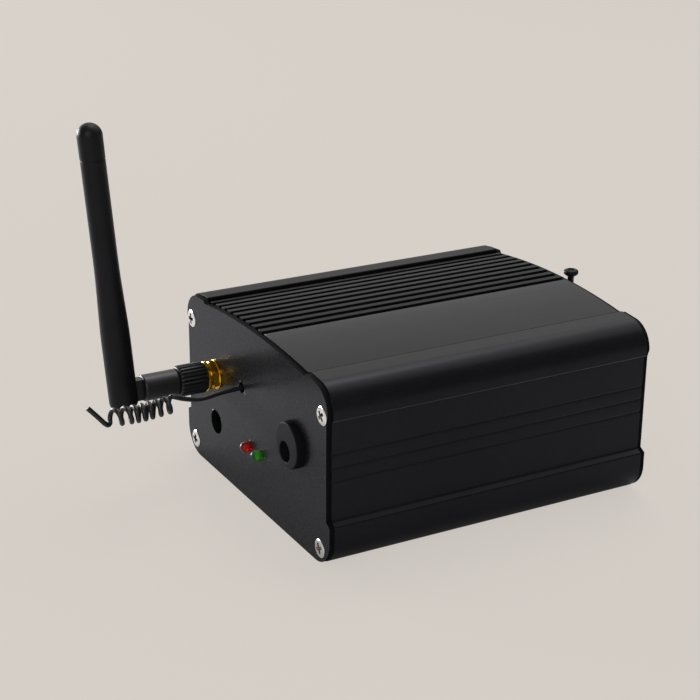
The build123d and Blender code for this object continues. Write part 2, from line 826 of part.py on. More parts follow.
with BuildPart() as antenna_radiator:
    with BuildSketch(blade_plane) as radiator_half:
        with BuildLine():
            Polyline(
                (0, CAVITY_FROM),
                (CAVITY_R - 0.1, CAVITY_FROM),
                (CAVITY_R - 0.1, CAVITY_FROM + 23),
                (0.6, CAVITY_FROM + 23),
                (0.6, CAVITY_FROM + 50),
                (0, CAVITY_FROM + 50),
                close=True,
            )
        make_face()
    revolve(radiator_half.sketch, axis=blade_axis)
antenna_radiator.part.label = "antenna_radiator"
export_step(antenna_radiator.part, "parts/antenna_radiator.step")

# ---------------------------------------------------------------- coiled wire aerial
RECEIVER_Y = AERIAL_Y - AERIAL_R - 1.0
ROOT_X = -38.0

with BuildPart() as aerial_root:
    with BuildSketch(Plane.YZ.offset(-FACE)):
        with Locations((AERIAL_Y, AERIAL_Z)):
            Circle(AERIAL_R)
    extrude(amount=FACE + ROOT_X)
aerial_root.part.label = "aerial_root"
export_step(aerial_root.part, "parts/aerial_root.step")

LEAD_ROUTE = [
    (-FACE, AERIAL_Y, AERIAL_Z),
    (-59.8, AERIAL_Y, 34.3),
    (-66.2, AERIAL_Y, 33.1),
    (-71.7, AERIAL_Y, 34.5),
    (-COIL_START, AERIAL_Y, 35.1),
]
lead_radii = bend_radii(LEAD_ROUTE)
with BuildPart() as aerial_lead:
    lead_length = tube_along(LEAD_ROUTE, lead_radii, AERIAL_R)
aerial_lead.part.label = "aerial_lead"
export_step(aerial_lead.part, "parts/aerial_lead.step")
report_cord("aerial_lead", aerial_lead.part, lead_length, AERIAL_R, lead_radii)

with BuildPart() as aerial_coil:
    with BuildSketch(Plane.YZ.offset(-COIL_END)):
        with Locations((AERIAL_Y, COIL_Z)):
            Circle(COIL_R)
    extrude(amount=COIL_END - COIL_START)
aerial_coil.part.label = "aerial_coil"
export_step(aerial_coil.part, "parts/aerial_coil.step")

TAIL_ROUTE = [
    (-COIL_END, AERIAL_Y, 33.95),
    (-98.9, AERIAL_Y, 35.65),
    (-101.2, AERIAL_Y, 37.8),
]
tail_radii = bend_radii(TAIL_ROUTE)
with BuildPart() as aerial_tail:
    tail_length = tube_along(TAIL_ROUTE, tail_radii, AERIAL_R)
aerial_tail.part.label = "aerial_tail"
export_step(aerial_tail.part, "parts/aerial_tail.step")
report_cord("aerial_tail", aerial_tail.part, tail_length, AERIAL_R, tail_radii)

# ---------------------------------------------------------------- fibre port
with BuildPart() as fibre_port:
    spun(
        (0, 0, PORT_Z),
        (1, 0, 0),
        [
            (PORT_TUBE_START, PORT_BORE_R - 1.5),
            (PORT_TUBE_START, PORT_TUBE_R),
            (FACE, PORT_TUBE_R),
            (FACE, COLLAR_R - 0.5),
            (FACE + 0.5, COLLAR_R),
            (COLLAR_END - 1.0, COLLAR_R),
            (COLLAR_END, COLLAR_R - 1.0),
            (COLLAR_END, PORT_BORE_R),
            (PORT_BORE_START, PORT_BORE_R),
            (PORT_BORE_START, PORT_BORE_R - 1.5),
        ],
    )
    with BuildSketch(Plane(origin=(CLAMP_X, 0, PORT_Z))) as tapping:
        Circle(CLAMP_R + RUNNING)
    extrude(tapping.sketch, amount=COLLAR_R + 1, mode=Mode.SUBTRACT)
fibre_port.part.label = "fibre_port"
export_step(fibre_port.part, "parts/fibre_port.step")

with BuildPart() as port_ring_nut:
    spun(
        (END, 0, PORT_Z),
        (-1, 0, 0),
        [
            (0, PORT_TUBE_R + 0.05),
            (0, COLLAR_R + 0.5),
            (RING_NUT - 0.5, COLLAR_R + 0.5),
            (RING_NUT, COLLAR_R),
            (RING_NUT, PORT_TUBE_R + 0.05),
        ],
    )
    with BuildSketch(Plane.YZ.offset(END - RING_NUT)) as spanner_slots:
        with Locations((0, PORT_Z)):
            with PolarLocations(COLLAR_R + 0.5, 4, start_angle=45):
                Rectangle(2.4, 3.0)
    extrude(spanner_slots.sketch, amount=RING_NUT, mode=Mode.SUBTRACT)
port_ring_nut.part.label = "port_ring_nut"
export_step(port_ring_nut.part, "parts/port_ring_nut.step")

CLAMP_TIP = PORT_Z + PORT_BORE_R
with BuildPart() as clamp_screw:
    spun(
        (CLAMP_X, 0, 0),
        (0, 0, 1),
        [
            (CLAMP_TIP, 0),
            (CLAMP_TIP, CLAMP_R - 0.4),
            (CLAMP_TIP + 0.4, CLAMP_R),
            (CLAMP_TOP - 6.2, CLAMP_R),
            (CLAMP_TOP - 5.6, CLAMP_NECK_R),
            (CLAMP_TOP - 2.3, CLAMP_NECK_R),
            (CLAMP_TOP - 1.4, CLAMP_HEAD_R),
            (CLAMP_TOP - 0.5, CLAMP_HEAD_R),
            (CLAMP_TOP, CLAMP_HEAD_R - 0.5),
            (CLAMP_TOP, 0),
        ],
    )
    cross_recess((CLAMP_X, 0, CLAMP_TOP), (0, 0, 1))
clamp_screw.part.label = "clamp_screw"
export_step(clamp_screw.part, "parts/clamp_screw.step")

# ---------------------------------------------------------------- light path
LED_FRONT = BRACKET_FRONT + LED_BOARD
STAR_SCREWS = [(y, PORT_Z + z) for y in (-15.0, 15.0) for z in (-11.5, 11.5)]

with BuildPart() as heat_bracket:
    with BuildSketch(Plane.XZ) as elbow:
        with BuildLine():
            heel = BRACKET_FRONT - BRACKET_FOOT
            Polyline(
                (heel, WALL),
                (BRACKET_FRONT, WALL),
                (BRACKET_FRONT, BRACKET_TOP),
                (BRACKET_FRONT - BRACKET_WALL, BRACKET_TOP),
                (BRACKET_FRONT - BRACKET_WALL, WALL + BRACKET_WALL),
                (heel, WALL + BRACKET_WALL),
                close=True,
            )
        make_face()
    extrude(amount=BRACKET_HALF, both=True)
    with BuildSketch(Plane.XY.offset(WALL)) as foot_bores:
        with Locations(*BRACKET_SCREWS):
            Circle(SCREW_BORE_R)
    extrude(foot_bores.sketch, amount=BRACKET_WALL, mode=Mode.SUBTRACT)
    with BuildSketch(Plane.YZ.offset(BRACKET_FRONT)) as board_bores:
        with Locations(*STAR_SCREWS):
            Circle(SCREW_BORE_R)
    extrude(board_bores.sketch, amount=-BRACKET_WALL, mode=Mode.SUBTRACT)
heat_bracket.part.label = "heat_bracket"
export_step(heat_bracket.part, "parts/heat_bracket.step")

with BuildPart() as bracket_screws:
    for screw_x, screw_y in BRACKET_SCREWS:
        countersunk_screw((screw_x, screw_y, BRACKET_SINK), (0, 0, -1), 7.5)
bracket_screws.part.label = "bracket_screws"
export_step(bracket_screws.part, "parts/bracket_screws.step")

with BuildPart() as led_board:
    with BuildSketch(Plane.YZ.offset(BRACKET_FRONT)):
        with Locations((0, PORT_Z)):
            RectangleRounded(37.0, 30.0, 2.0)
        with Locations(*STAR_SCREWS):
            Circle(HOLE_R, mode=Mode.SUBTRACT)
    extrude(amount=LED_BOARD)
led_board.part.label = "led_board"
export_step(led_board.part, "parts/led_board.step")

with BuildPart() as led_board_screws:
    for screw_y, screw_z in STAR_SCREWS:
        pan_screw((LED_FRONT, screw_y, screw_z), (1, 0, 0), 7.0, 2.0)
led_board_screws.part.label = "led_board_screws"
export_step(led_board_screws.part, "parts/led_board_screws.step")

EMITTER = 1.2
EMITTER_DOME_R = 4.5
EMITTER_DOME = 3.0
with BuildPart() as led_emitter:
    with BuildSketch(Plane.YZ.offset(LED_FRONT)):
        with Locations((0, PORT_Z)):
            RectangleRounded(13.0, 13.0, 1.0)
    extrude(amount=EMITTER)
    dome_base = (LED_FRONT + EMITTER, 0, PORT_Z)
    with BuildSketch(Plane(origin=dome_base, x_dir=(1, 0, 0), z_dir=(0, -1, 0))) as dome:
        with BuildLine():
            cap_arc(0, EMITTER_DOME_R, EMITTER_DOME)
            Polyline((EMITTER_DOME, 0), (0, 0), (0, EMITTER_DOME_R))
        make_face()
    revolve(dome.sketch, axis=Axis(dome_base, (1, 0, 0)))
led_emitter.part.label = "led_emitter"
export_step(led_emitter.part, "parts/led_emitter.step")

BARREL_TUBE_R = 14.0
with BuildPart() as lens_barrel:
    spun(
        (0, 0, PORT_Z),
        (1, 0, 0),
        [
            (LED_FRONT, LENS_R - 0.8),
            (LED_FRONT, BARREL_TUBE_R),
            (PORT_TUBE_START + 4.0, BARREL_TUBE_R),
            (PORT_TUBE_START + 4.0, PORT_TUBE_R + 0.05),
            (LENS_SEAT, PORT_TUBE_R + 0.05),
            (LENS_SEAT, LENS_R - 0.8),
        ],
    )
lens_barrel.part.label = "lens_barrel"
export_step(lens_barrel.part, "parts/lens_barrel.step")

with BuildPart() as condenser_lens:
    lens_back = (LENS_SEAT, 0, PORT_Z)
    with BuildSketch(Plane(origin=lens_back, x_dir=(1, 0, 0), z_dir=(0, -1, 0))) as lens_half:
        with BuildLine():
            Polyline((0, 0), (0, PORT_TUBE_R), (LENS_RIM, PORT_TUBE_R), (LENS_RIM, LENS_R - 1.5))
            cap_arc(LENS_RIM, LENS_R - 1.5, LENS_BULGE)
            Line((LENS_RIM + LENS_BULGE, 0), (0, 0))
        make_face()
    revolve(lens_half.sketch, axis=Axis(lens_back, (1, 0, 0)))
condenser_lens.part.label = "condenser_lens"
export_step(condenser_lens.part, "parts/condenser_lens.step")

with BuildPart() as lens_spacer:
    spun(
        (0, 0, PORT_Z),
        (1, 0, 0),
        [
            (LENS_SEAT + LENS_RIM, LENS_R - 1.2),
            (LENS_SEAT + LENS_RIM, PORT_TUBE_R),
            (PORT_TUBE_START, PORT_TUBE_R),
            (PORT_TUBE_START, LENS_R - 1.2),
        ],
    )
lens_spacer.part.label = "lens_spacer"
export_step(lens_spacer.part, "parts/lens_spacer.step")

# ---------------------------------------------------------------- control board
BOARD_START = -50.5
BOARD_END = -10.5

with BuildPart() as control_board:
    with BuildSketch(Plane.XY.offset(BOARD_Z)):
        with Locations(((BOARD_START + BOARD_END) / 2, 0)):
            Rectangle(BOARD_END - BOARD_START, 2 * BOARD_HALF)
    extrude(amount=BOARD)
control_board.part.label = "control_board"
export_step(control_board.part, "parts/control_board.step")


def on_board(x, y, length, width, height, soft_edge=0.0, lift=0.0):
    """Stand a block on the board, with its upright edges rounded where asked."""
    with BuildSketch(Plane.XY.offset(BOARD_TOP + lift)) as footprint:
        with Locations((x, y)):
            if soft_edge:
                RectangleRounded(length, width, soft_edge)
            else:
                Rectangle(length, width)
    extrude(footprint.sketch, amount=height)


with BuildPart() as bulk_capacitors:
    for can_y in (-37.2, -28.2):
        spun(
            (-41.0, can_y, BOARD_TOP),
            (0, 0, 1),
            [(0, 0), (0, 4.0), (0.8, 4.0), (1.4, 3.7), (2.0, 4.0), (12.0, 4.0), (12.4, 3.6), (12.4, 0)],
        )
bulk_capacitors.part.label = "bulk_capacitors"
export_step(bulk_capacitors.part, "parts/bulk_capacitors.step")

with BuildPart() as power_inductor:
    on_board(-22.0, -35.0, 12.0, 12.0, 1.5, 2.0)
    with BuildSketch(Plane.XY.offset(BOARD_TOP + 1.5)):
        with Locations((-22.0, -35.0)):
            Circle(5.6)
    extrude(amount=5.5)
    chamfer(power_inductor.edges().group_by(Axis.Z)[-1], length=0.6)
power_inductor.part.label = "power_inductor"
export_step(power_inductor.part, "parts/power_inductor.step")

with BuildPart() as terminal_block:
    on_board(-32.0, -22.0, 8.0, 10.0, 10.0)
    wire_face = Plane(origin=(-36.0, -22.0, BOARD_TOP + 3.2), z_dir=(-1, 0, 0), x_dir=(0, 1, 0))
    with BuildSketch(wire_face) as wire_ways:
        with Locations((-2.5, 0), (2.5, 0)):
            Rectangle(3.2, 3.6)
    extrude(wire_ways.sketch, amount=-5.0, mode=Mode.SUBTRACT)
    with BuildSketch(Plane.XY.offset(BOARD_TOP + 10.0)) as driver_ways:
        with Locations((-32.0, -24.5), (-32.0, -19.5)):
            Circle(1.6)
    extrude(driver_ways.sketch, amount=-3.0, mode=Mode.SUBTRACT)
    chamfer(terminal_block.edges().group_by(Axis.Z)[-1].sort_by(Axis.X)[-1], length=1.5)
terminal_block.part.label = "terminal_block"
export_step(terminal_block.part, "parts/terminal_block.step")

with BuildPart() as mosfets:
    for pack_y in (-14.0, -6.0, 2.0, 10.0):
        on_board(-16.0, pack_y, 6.1, 6.5, 2.3)
        on_board(-20.5, pack_y - 2.3, 3.0, 0.8, 0.9)
        on_board(-20.5, pack_y + 2.3, 3.0, 0.8, 0.9)
mosfets.part.label = "mosfets"
export_step(mosfets.part, "parts/mosfets.step")

with BuildPart() as microcontroller:
    on_board(-30.0, 0.0, 10.0, 10.0, 1.4, lift=0.2)
    for pin in range(8):
        pin_at = 1.0 * (pin - 3.5)
        for side in (-5.3, 5.3):
            on_board(-30.0 + side, pin_at, 1.4, 0.4, 0.4)
            on_board(-30.0 + pin_at, side, 0.4, 1.4, 0.4)
microcontroller.part.label = "microcontroller"
export_step(microcontroller.part, "parts/microcontroller.step")

LEAD_PLUG_AT = (-16.0, 31.0)
PLUG_BLOCK = 6.5
with BuildPart() as led_connector:
    on_board(LEAD_PLUG_AT[0], LEAD_PLUG_AT[1], 6.0, 12.0, PLUG_BLOCK)
    on_board(LEAD_PLUG_AT[0] - 2.6, LEAD_PLUG_AT[1], 0.8, 4.0, PLUG_BLOCK + 1.0)
led_connector.part.label = "led_connector"
export_step(led_connector.part, "parts/led_connector.step")

LED_LEAD_R = 1.1
PAD_Y = 16.2
LEAD_OUT_X = 23.0
LEAD_Z = 26.0
LED_LEAD_ROUTE = [
    (LEAD_PLUG_AT[0], LEAD_PLUG_AT[1], BOARD_TOP + PLUG_BLOCK),
    (LEAD_PLUG_AT[0], LEAD_PLUG_AT[1], LEAD_Z),
    (LEAD_OUT_X, LEAD_PLUG_AT[1], LEAD_Z),
    (LEAD_OUT_X, PAD_Y, LEAD_Z + 2.0),
    (LED_FRONT, PAD_Y, LEAD_Z + 2.0),
]
led_lead_radii = [6.0, 6.5, 4.5]
with BuildPart() as led_lead:
    led_lead_length = tube_along(LED_LEAD_ROUTE, led_lead_radii, LED_LEAD_R)
led_lead.part.label = "led_lead"
export_step(led_lead.part, "parts/led_lead.step")
report_cord("led_lead", led_lead.part, led_lead_length, LED_LEAD_R, led_lead_radii)

RADIO_AT = (-31.0, 27.0)
with BuildPart() as radio_module:
    on_board(RADIO_AT[0], RADIO_AT[1], 18.0, 20.0, 1.0)
radio_module.part.label = "radio_module"
export_step(radio_module.part, "parts/radio_module.step")

with BuildPart() as radio_shield:
    on_board(RADIO_AT[0] + 2.5, RADIO_AT[1], 11.5, 16.0, 2.2, 0.8, lift=1.0)
radio_shield.part.label = "radio_shield"
export_step(radio_shield.part, "parts/radio_shield.step")

COAX_R = 0.9
COAX_ROUTE = [
    (-END + JACK_TAIL, JACK_AT[0], JACK_AT[1]),
    (-37.3, JACK_AT[0], JACK_AT[1]),
    (-37.3, JACK_AT[0], BOARD_TOP + 1.0),
]
coax_radii = [5.5]
with BuildPart() as coax_pigtail:
    coax_length = tube_along(COAX_ROUTE, coax_radii, COAX_R)
coax_pigtail.part.label = "coax_pigtail"
export_step(coax_pigtail.part, "parts/coax_pigtail.step")
report_cord("coax_pigtail", coax_pigtail.part, coax_length, COAX_R, coax_radii)

with BuildPart() as remote_receiver:
    with BuildSketch(Plane.XZ.offset(-RECEIVER_Y)):
        with Locations((-41.0, BOARD_TOP + 17.5)):
            Rectangle(12.0, 30.0)
    extrude(amount=-1.0)
    for pin in range(4):
        on_board(-45.0 + 2.54 * pin, RECEIVER_Y + 0.5, 0.6, 0.6, 3.0)
    with BuildSketch(Plane.XZ.offset(-RECEIVER_Y)) as chips:
        with Locations((-41.0, 19.0)):
            Rectangle(4.0, 5.0)
        with Locations((-42.0, 27.0)):
            Rectangle(8.0, 3.4)
    extrude(chips.sketch, amount=1.5)
remote_receiver.part.label = "remote_receiver"
export_step(remote_receiver.part, "parts/remote_receiver.step")
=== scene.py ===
import json
from math import atan2, cos, hypot, pi, radians, sin, tau

import bpy
from mathutils import Matrix, Vector


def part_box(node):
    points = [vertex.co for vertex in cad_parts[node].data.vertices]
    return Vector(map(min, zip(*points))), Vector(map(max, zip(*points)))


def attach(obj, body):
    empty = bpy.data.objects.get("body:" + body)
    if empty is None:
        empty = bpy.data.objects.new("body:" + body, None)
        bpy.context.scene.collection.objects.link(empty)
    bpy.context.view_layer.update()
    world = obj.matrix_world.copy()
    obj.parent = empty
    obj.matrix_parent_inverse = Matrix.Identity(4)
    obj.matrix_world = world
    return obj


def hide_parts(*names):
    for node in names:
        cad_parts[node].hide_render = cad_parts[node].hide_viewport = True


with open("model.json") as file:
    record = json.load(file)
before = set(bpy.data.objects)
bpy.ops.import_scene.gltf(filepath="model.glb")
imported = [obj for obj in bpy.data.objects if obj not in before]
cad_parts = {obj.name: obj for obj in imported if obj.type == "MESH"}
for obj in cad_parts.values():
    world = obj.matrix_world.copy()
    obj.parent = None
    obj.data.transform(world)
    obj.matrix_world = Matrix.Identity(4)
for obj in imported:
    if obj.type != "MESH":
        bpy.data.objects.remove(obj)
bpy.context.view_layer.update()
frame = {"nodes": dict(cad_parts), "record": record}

MM = 0.001
WELD_GAP = 0.002 * MM

# ---- Camera: the calibrated station in front of the antenna end's near corner ----
IMAGE_PX = 700
SENSOR = 36.0
FOCAL_PX = 1700.8
STATION = Vector((-247.93, -410.28, 225.31)) * MM
STATION_TURN = radians(-28.907)
STATION_RISE = radians(21.223)
STATION_ROLL = radians(0.433)

# ---- Places read from the frame, in millimetres ----
JOINTS = {joint["name"]: joint for joint in frame["record"]["behaviour"]["joints"]}
PLATE_FACE = -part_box("antenna_end_plate")[0].x / MM
HINGE = Vector(JOINTS["antenna_fold"]["pos_m"]) / MM
JACK = Vector((-PLATE_FACE, HINGE.y, HINGE.z))
OUT = Vector((-1, 0, 0))

# ---- Coiled aerial wire, in millimetres ----
WIRE_R = 0.725
WIRE_Y = 8.05
LEAD_ROUTE = [
    (-53.4, WIRE_Y, 34.4),
    (-59.8, WIRE_Y, 34.3),
    (-66.2, WIRE_Y, 33.1),
    (-71.7, WIRE_Y, 34.5),
]
COIL_MEAN_R = 2.15
COIL_STEPS = 16
COIL_DIPS = [-76.0, -78.7, -81.2, -83.3, -85.55, -87.75, -90.7, -94.1]
COIL_HEIGHTS = [33.65, 33.45, 33.15, 32.95, 32.8, 32.8, 32.9, 33.0]
COIL_TILTS = [0.0, 0.25, 0.6, 0.65, 0.5, 0.1, 0.0, 0.0]
TAIL_ROUTE = [
    (-95.6, WIRE_Y - 1.4, 31.4),
    (-98.4, WIRE_Y - 1.0, 34.9),
    (-101.1, WIRE_Y - 0.8, 37.9),
]


# ------------------------------------------------------------------ camera
def set_camera():
    """Stand the camera at its station, looking down at the near corner."""
    lens = bpy.data.cameras.new("camera")
    lens.sensor_width = SENSOR
    lens.lens = FOCAL_PX / IMAGE_PX * SENSOR
    lens.clip_start = 0.01
    eye = bpy.data.objects.new("camera", lens)
    bpy.context.scene.collection.objects.link(eye)
    turn, rise = STATION_TURN, STATION_RISE
    back = Vector((sin(turn) * cos(rise), -cos(turn) * cos(rise), sin(rise)))
    level = Vector((cos(turn), sin(turn), 0))
    right = Matrix.Rotation(STATION_ROLL, 3, back) @ level
    up = back.cross(right)
    facing = Matrix((right, up, back)).transposed()
    eye.matrix_world = Matrix.Translation(STATION) @ facing.to_4x4()
    bpy.context.scene.camera = eye


set_camera()


# ------------------------------------------------------------------ shader maths
class Value:
    """A socket of a material's tree that takes part in plain arithmetic."""

    def __init__(self, finish, socket):
        self.finish = finish
        self.socket = socket

    def math(self, operation, other):
        """Work out a new socket from this one and another socket or number."""
        inputs = {0: self, 1: other}
        return self.finish.add("Math", {"operation": operation}, inputs)[0]

    def __add__(self, other):
        return self.math("ADD", other)

    def __sub__(self, other):
        return self.math("SUBTRACT", other)

    def __mul__(self, other):
        return self.math("MULTIPLY", other)

    def __pow__(self, other):
        return self.math("POWER", other)


class Outputs:
    """The outputs of a node, by name or place."""

    def __init__(self, finish, node):
        self.finish = finish
        self.node = node

    def __getitem__(self, name):
        return Value(self.finish, self.node.outputs[name])


class Finish:
    """A material, or a world, being made: one method adds any node to its tree."""

    def __init__(self, name, world=None):
        self.material = world or bpy.data.materials.new(name)
        self.material.use_nodes = True
        self.tree = self.material.node_tree
        self.tree.nodes.clear()
        self.place = self.add("TexCoord")["Object"]

    def add(self, kind, settings=None, inputs=None):
        """Add a node, with its settings, and link or set its inputs."""
        node = self.tree.nodes.new("ShaderNode" + kind)
        for name, value in (settings or {}).items():
            setattr(node, name, value)
        for name, value in (inputs or {}).items():
            if isinstance(value, Value):
                self.tree.links.new(value.socket, node.inputs[name])
            else:
                node.inputs[name].default_value = value
        return Outputs(self, node)

    def stretched(self, scale):
        """Object coordinates scaled by axis, so that a pattern runs long one way."""
        return self.add("Mapping", {}, {"Vector": self.place, "Scale": scale})[0]

    def noise(self, scale, detail=3.0, vector=None):
        """Add noise over the object's coordinates, or over those that are given."""
        inputs = {"Vector": vector or self.place, "Scale": scale, "Detail": detail}
        return self.add("TexNoise", {}, inputs)["Fac"]

    def ramp(self, value, low, high, start=0.0, end=1.0):
        """Map a value from one range to another, with smooth ends."""
        settings = {"interpolation_type": "SMOOTHSTEP"}
        limits = {"From Min": low, "From Max": high, "To Min": start, "To Max": end}
        return self.add("MapRange", settings, {"Value": value, **limits})[0]

    def away_from(self, y, z):
        """Work out the distance, along an end plate, from a spot."""
        apart = self.add("SeparateXYZ", {}, {0: self.place})
        across = apart[1] - y * MM
        upward = apart[2] - z * MM
        return (across * across + upward * upward) ** 0.5

    def tint(self, mask, first, second):
        """Mix two colours by a mask."""
        inputs = {0: mask, 6: first, 7: second}
        return self.add("Mix", {"data_type": "RGBA"}, inputs)[2]

    def bump(self, height, distance, strength):
        """Turn a height, of so many millimetres at most, into a bent normal."""
        inputs = {"Height": height, "Distance": distance * MM, "Strength": strength}
        return self.add("Bump", {}, inputs)[0]

    def surface(self, **inputs):
        """Finish the material with a principled shader, and return the material."""
        named = {name.replace("_", " "): value for name, value in inputs.items()}
        shader = self.add("BsdfPrincipled", {}, named)
        self.add("OutputMaterial", {}, {"Surface": shader[0]})
        return self.material


def grey(level):
    """A grey with the faint blue of black anodising."""
    return (level, level * 1.02, level * 1.12, 1.0)


# ------------------------------------------------------------------ finishes
def anodised(name, shade, gloss, grain_scale, lines=0.0, shine=0.17, chips=()):
    """Black anodised aluminium: fine grain, extrusion lines and a few bare chips."""
    finish = Finish(name)
    grain = finish.noise(grain_scale, 4.0)
    cloud = finish.noise(18.0, 3.0)
    tone = finish.ramp(grain * 0.5 + cloud * 0.5, 0.35, 0.65)
    colour = finish.tint(tone, grey(shade * 0.8), grey(shade * 1.25))
    rough = grain * 0.1 + (gloss - 0.05)
    height = grain * 0.4
    if lines:
        streaks = finish.noise(1.0, 2.0, finish.stretched((14.0, 2600.0, 2600.0)))
        rough = rough + streaks * lines - lines / 2
        height = height + streaks * (2.0 * lines)
    bare = 0.0
    for y, z, size in chips:
        ragged = finish.away_from(y, z) + finish.noise(2400.0, 2.0) * (0.4 * MM)
        bare = finish.ramp(ragged, (size + 0.2) * MM, (size + 0.3) * MM, 1.0, 0.0) + bare
    if chips:
        colour = finish.tint(bare, colour, grey(0.75))
    return finish.surface(
        Base_Color=colour,
        Metallic=bare,
        Roughness=rough,
        Normal=finish.bump(height, 0.015, 0.4),
        Specular_IOR_Level=shine,
        Specular_Tint=(0.92, 0.91, 1.0, 1.0),
    )


def plastic(name, colour, gloss, grain_scale=2200.0, shine=0.5):
    """Moulded plastic or rubber with a fine skin."""
    finish = Finish(name)
    grain = finish.noise(grain_scale, 3.0)
    cloud = finish.noise(40.0, 2.0)
    darker = tuple(0.8 * c for c in colour) + (1.0,)
    lighter = tuple(min(1.2 * c, 1.0) for c in colour) + (1.0,)
    return finish.surface(
        Base_Color=finish.tint(finish.ramp(cloud, 0.3, 0.7), darker, lighter),
        Roughness=grain * 0.12 + (gloss - 0.06),
        Normal=finish.bump(grain, 0.03, 0.4),
        Specular_IOR_Level=shine,
    )


def metal(name, colour, gloss, tarnish):
    """Bare or plated metal with light tarnish and turning marks."""
    finish = Finish(name)
    patches = finish.ramp(finish.noise(420.0, 4.0), 0.45, 0.75)
    marks = finish.noise(5200.0, 2.0)
    dull = tuple(c * (1 - tarnish) for c in colour) + (1.0,)
    return finish.surface(
        Base_Color=finish.tint(patches, colour + (1.0,), dull),
        Metallic=1.0,
        Roughness=marks * 0.1 + patches * 0.12 + gloss,
        Normal=finish.bump(marks, 0.008, 1.0),
    )


def tinted_epoxy(name, colour, deep):
    """Coloured epoxy of an indicator lamp: deep at its tip and brighter near its root, a
    painted glow of light gathered inside the lens.
    """
    finish = Finish(name)
    haze = finish.noise(900.0, 2.0)
    along = finish.add("SeparateXYZ", {}, {0: finish.place})[0]
    # Painted light: the colour brightens towards the lens root and stands for light focused
    # inside the epoxy.
    painted_glow = finish.ramp(along + haze * (0.6 * MM), -54.9 * MM, -54.2 * MM)
    return finish.surface(
        Base_Color=finish.tint(painted_glow, deep, colour),
        Roughness=haze * 0.1 + 0.3,
        Transmission_Weight=0.7,
        IOR=1.45,
        Specular_IOR_Level=0.2,
    )


def glass(name):
    """Clear optical glass."""
    finish = Finish(name)
    haze = finish.noise(300.0, 2.0)
    return finish.surface(
        Base_Color=(0.95, 0.98, 0.97, 1.0),
        Roughness=haze * 0.03,
        Transmission_Weight=1.0,
        IOR=1.52,
    )


SOOT = (0.006, 0.006, 0.007)
CHARCOAL = (0.008, 0.008, 0.009)
CASE_BLACK = anodised("case_black", 0.006, 0.34, 1500.0, lines=0.10)
PLATE_BLACK = anodised("plate_black", 0.007, 0.28, 1900.0)
CHIPS = [(28.4, 19.6, 0.35), (8.3, 36.2, 0.3), (6.0, 33.9, 0.25), (5.2, 33.5, 0.15)]
DRILLED_PLATE = anodised("drilled_plate", 0.007, 0.28, 1900.0, chips=CHIPS)
# A darker, duller copy of the plate anodising: painted shade for the end plates' edges, where
# a shadowed gap meets the case.
EDGE_SHADE = anodised("painted_edge_shade", 0.004, 0.7, 3000.0, shine=0.05)
FIN_BLACK = anodised("fin_black", 0.006, 0.38, 1500.0, lines=0.10, shine=0.06)
# A lighter copy of the case anodising: a painted highlight for the bright line along the roof
# lip's underside.
LIP_HIGHLIGHT = anodised("painted_lip_highlight", 0.03, 0.4, 1200.0, shine=0.4)
ELBOW_BLACK = plastic("elbow_black", SOOT, 0.42, shine=0.45)
ANTENNA_BLACK = plastic("antenna_black", SOOT, 0.45, shine=0.18)
KNURL_BLACK = plastic("knurl_black", SOOT, 0.42, shine=0.35)
WIRE_BLACK = plastic("wire_black", CHARCOAL, 0.38, shine=0.4)
BUSHING_BLACK = plastic("bushing_black", CHARCOAL, 0.38, shine=0.10)
# A darker, duller copy of the bushing rubber: painted shade for the bushing's flank.
BUSHING_FLANK_SHADE = plastic("bushing_flank_shade", SOOT, 0.7, shine=0.05)
CLAMP_BLACK = anodised("clamp_black", 0.006, 0.38, 2400.0, shine=0.15)
GILT = metal("gilt", (0.95, 0.58, 0.035), 0.14, 0.25)
NICKEL = metal("nickel", (0.98, 0.95, 0.89), 0.16, 0.08)
# Dark brown metal: painted shade for the inside of the screw heads' cross recess.
RECESS_SHADE = metal("painted_recess_shade", (0.16, 0.11, 0.07), 0.45, 0.3)
STEEL = metal("steel", (0.60, 0.60, 0.61), 0.25, 0.25)
ALUMINIUM = metal("bare_aluminium", (0.78, 0.79, 0.80), 0.30, 0.15)
PTFE = plastic("ptfe_white", (0.80, 0.80, 0.78), 0.40)
# Each lens gets a bright colour painted near its root as a glow, and a deep colour at its
# tip.
LENS_RED = tinted_epoxy("lens_red", (0.95, 0.02, 0.01, 1.0), (0.28, 0.003, 0.003, 1.0))
LENS_GREEN = tinted_epoxy("lens_green", (0.09, 0.70, 0.03, 1.0), (0.012, 0.15, 0.03, 1.0))
BOARD_GREEN = plastic("board_green", (0.02, 0.16, 0.06), 0.35, 600.0)
LED_WHITE = plastic("led_white", (0.80, 0.81, 0.79), 0.35)
PHOSPHOR = plastic("phosphor", (0.85, 0.68, 0.14), 0.20)
CHIP_BLACK = plastic("chip_black", (0.02, 0.02, 0.02), 0.55)
CAN_SLEEVE = plastic("can_sleeve", (0.03, 0.03, 0.07), 0.30)
NYLON = plastic("connector_white", (0.76, 0.73, 0.64), 0.42)
TERMINAL_GREEN = plastic("terminal_green", (0.05, 0.32, 0.12), 0.38)
COAX_BROWN = plastic("coax_brown", (0.25, 0.13, 0.05), 0.35)

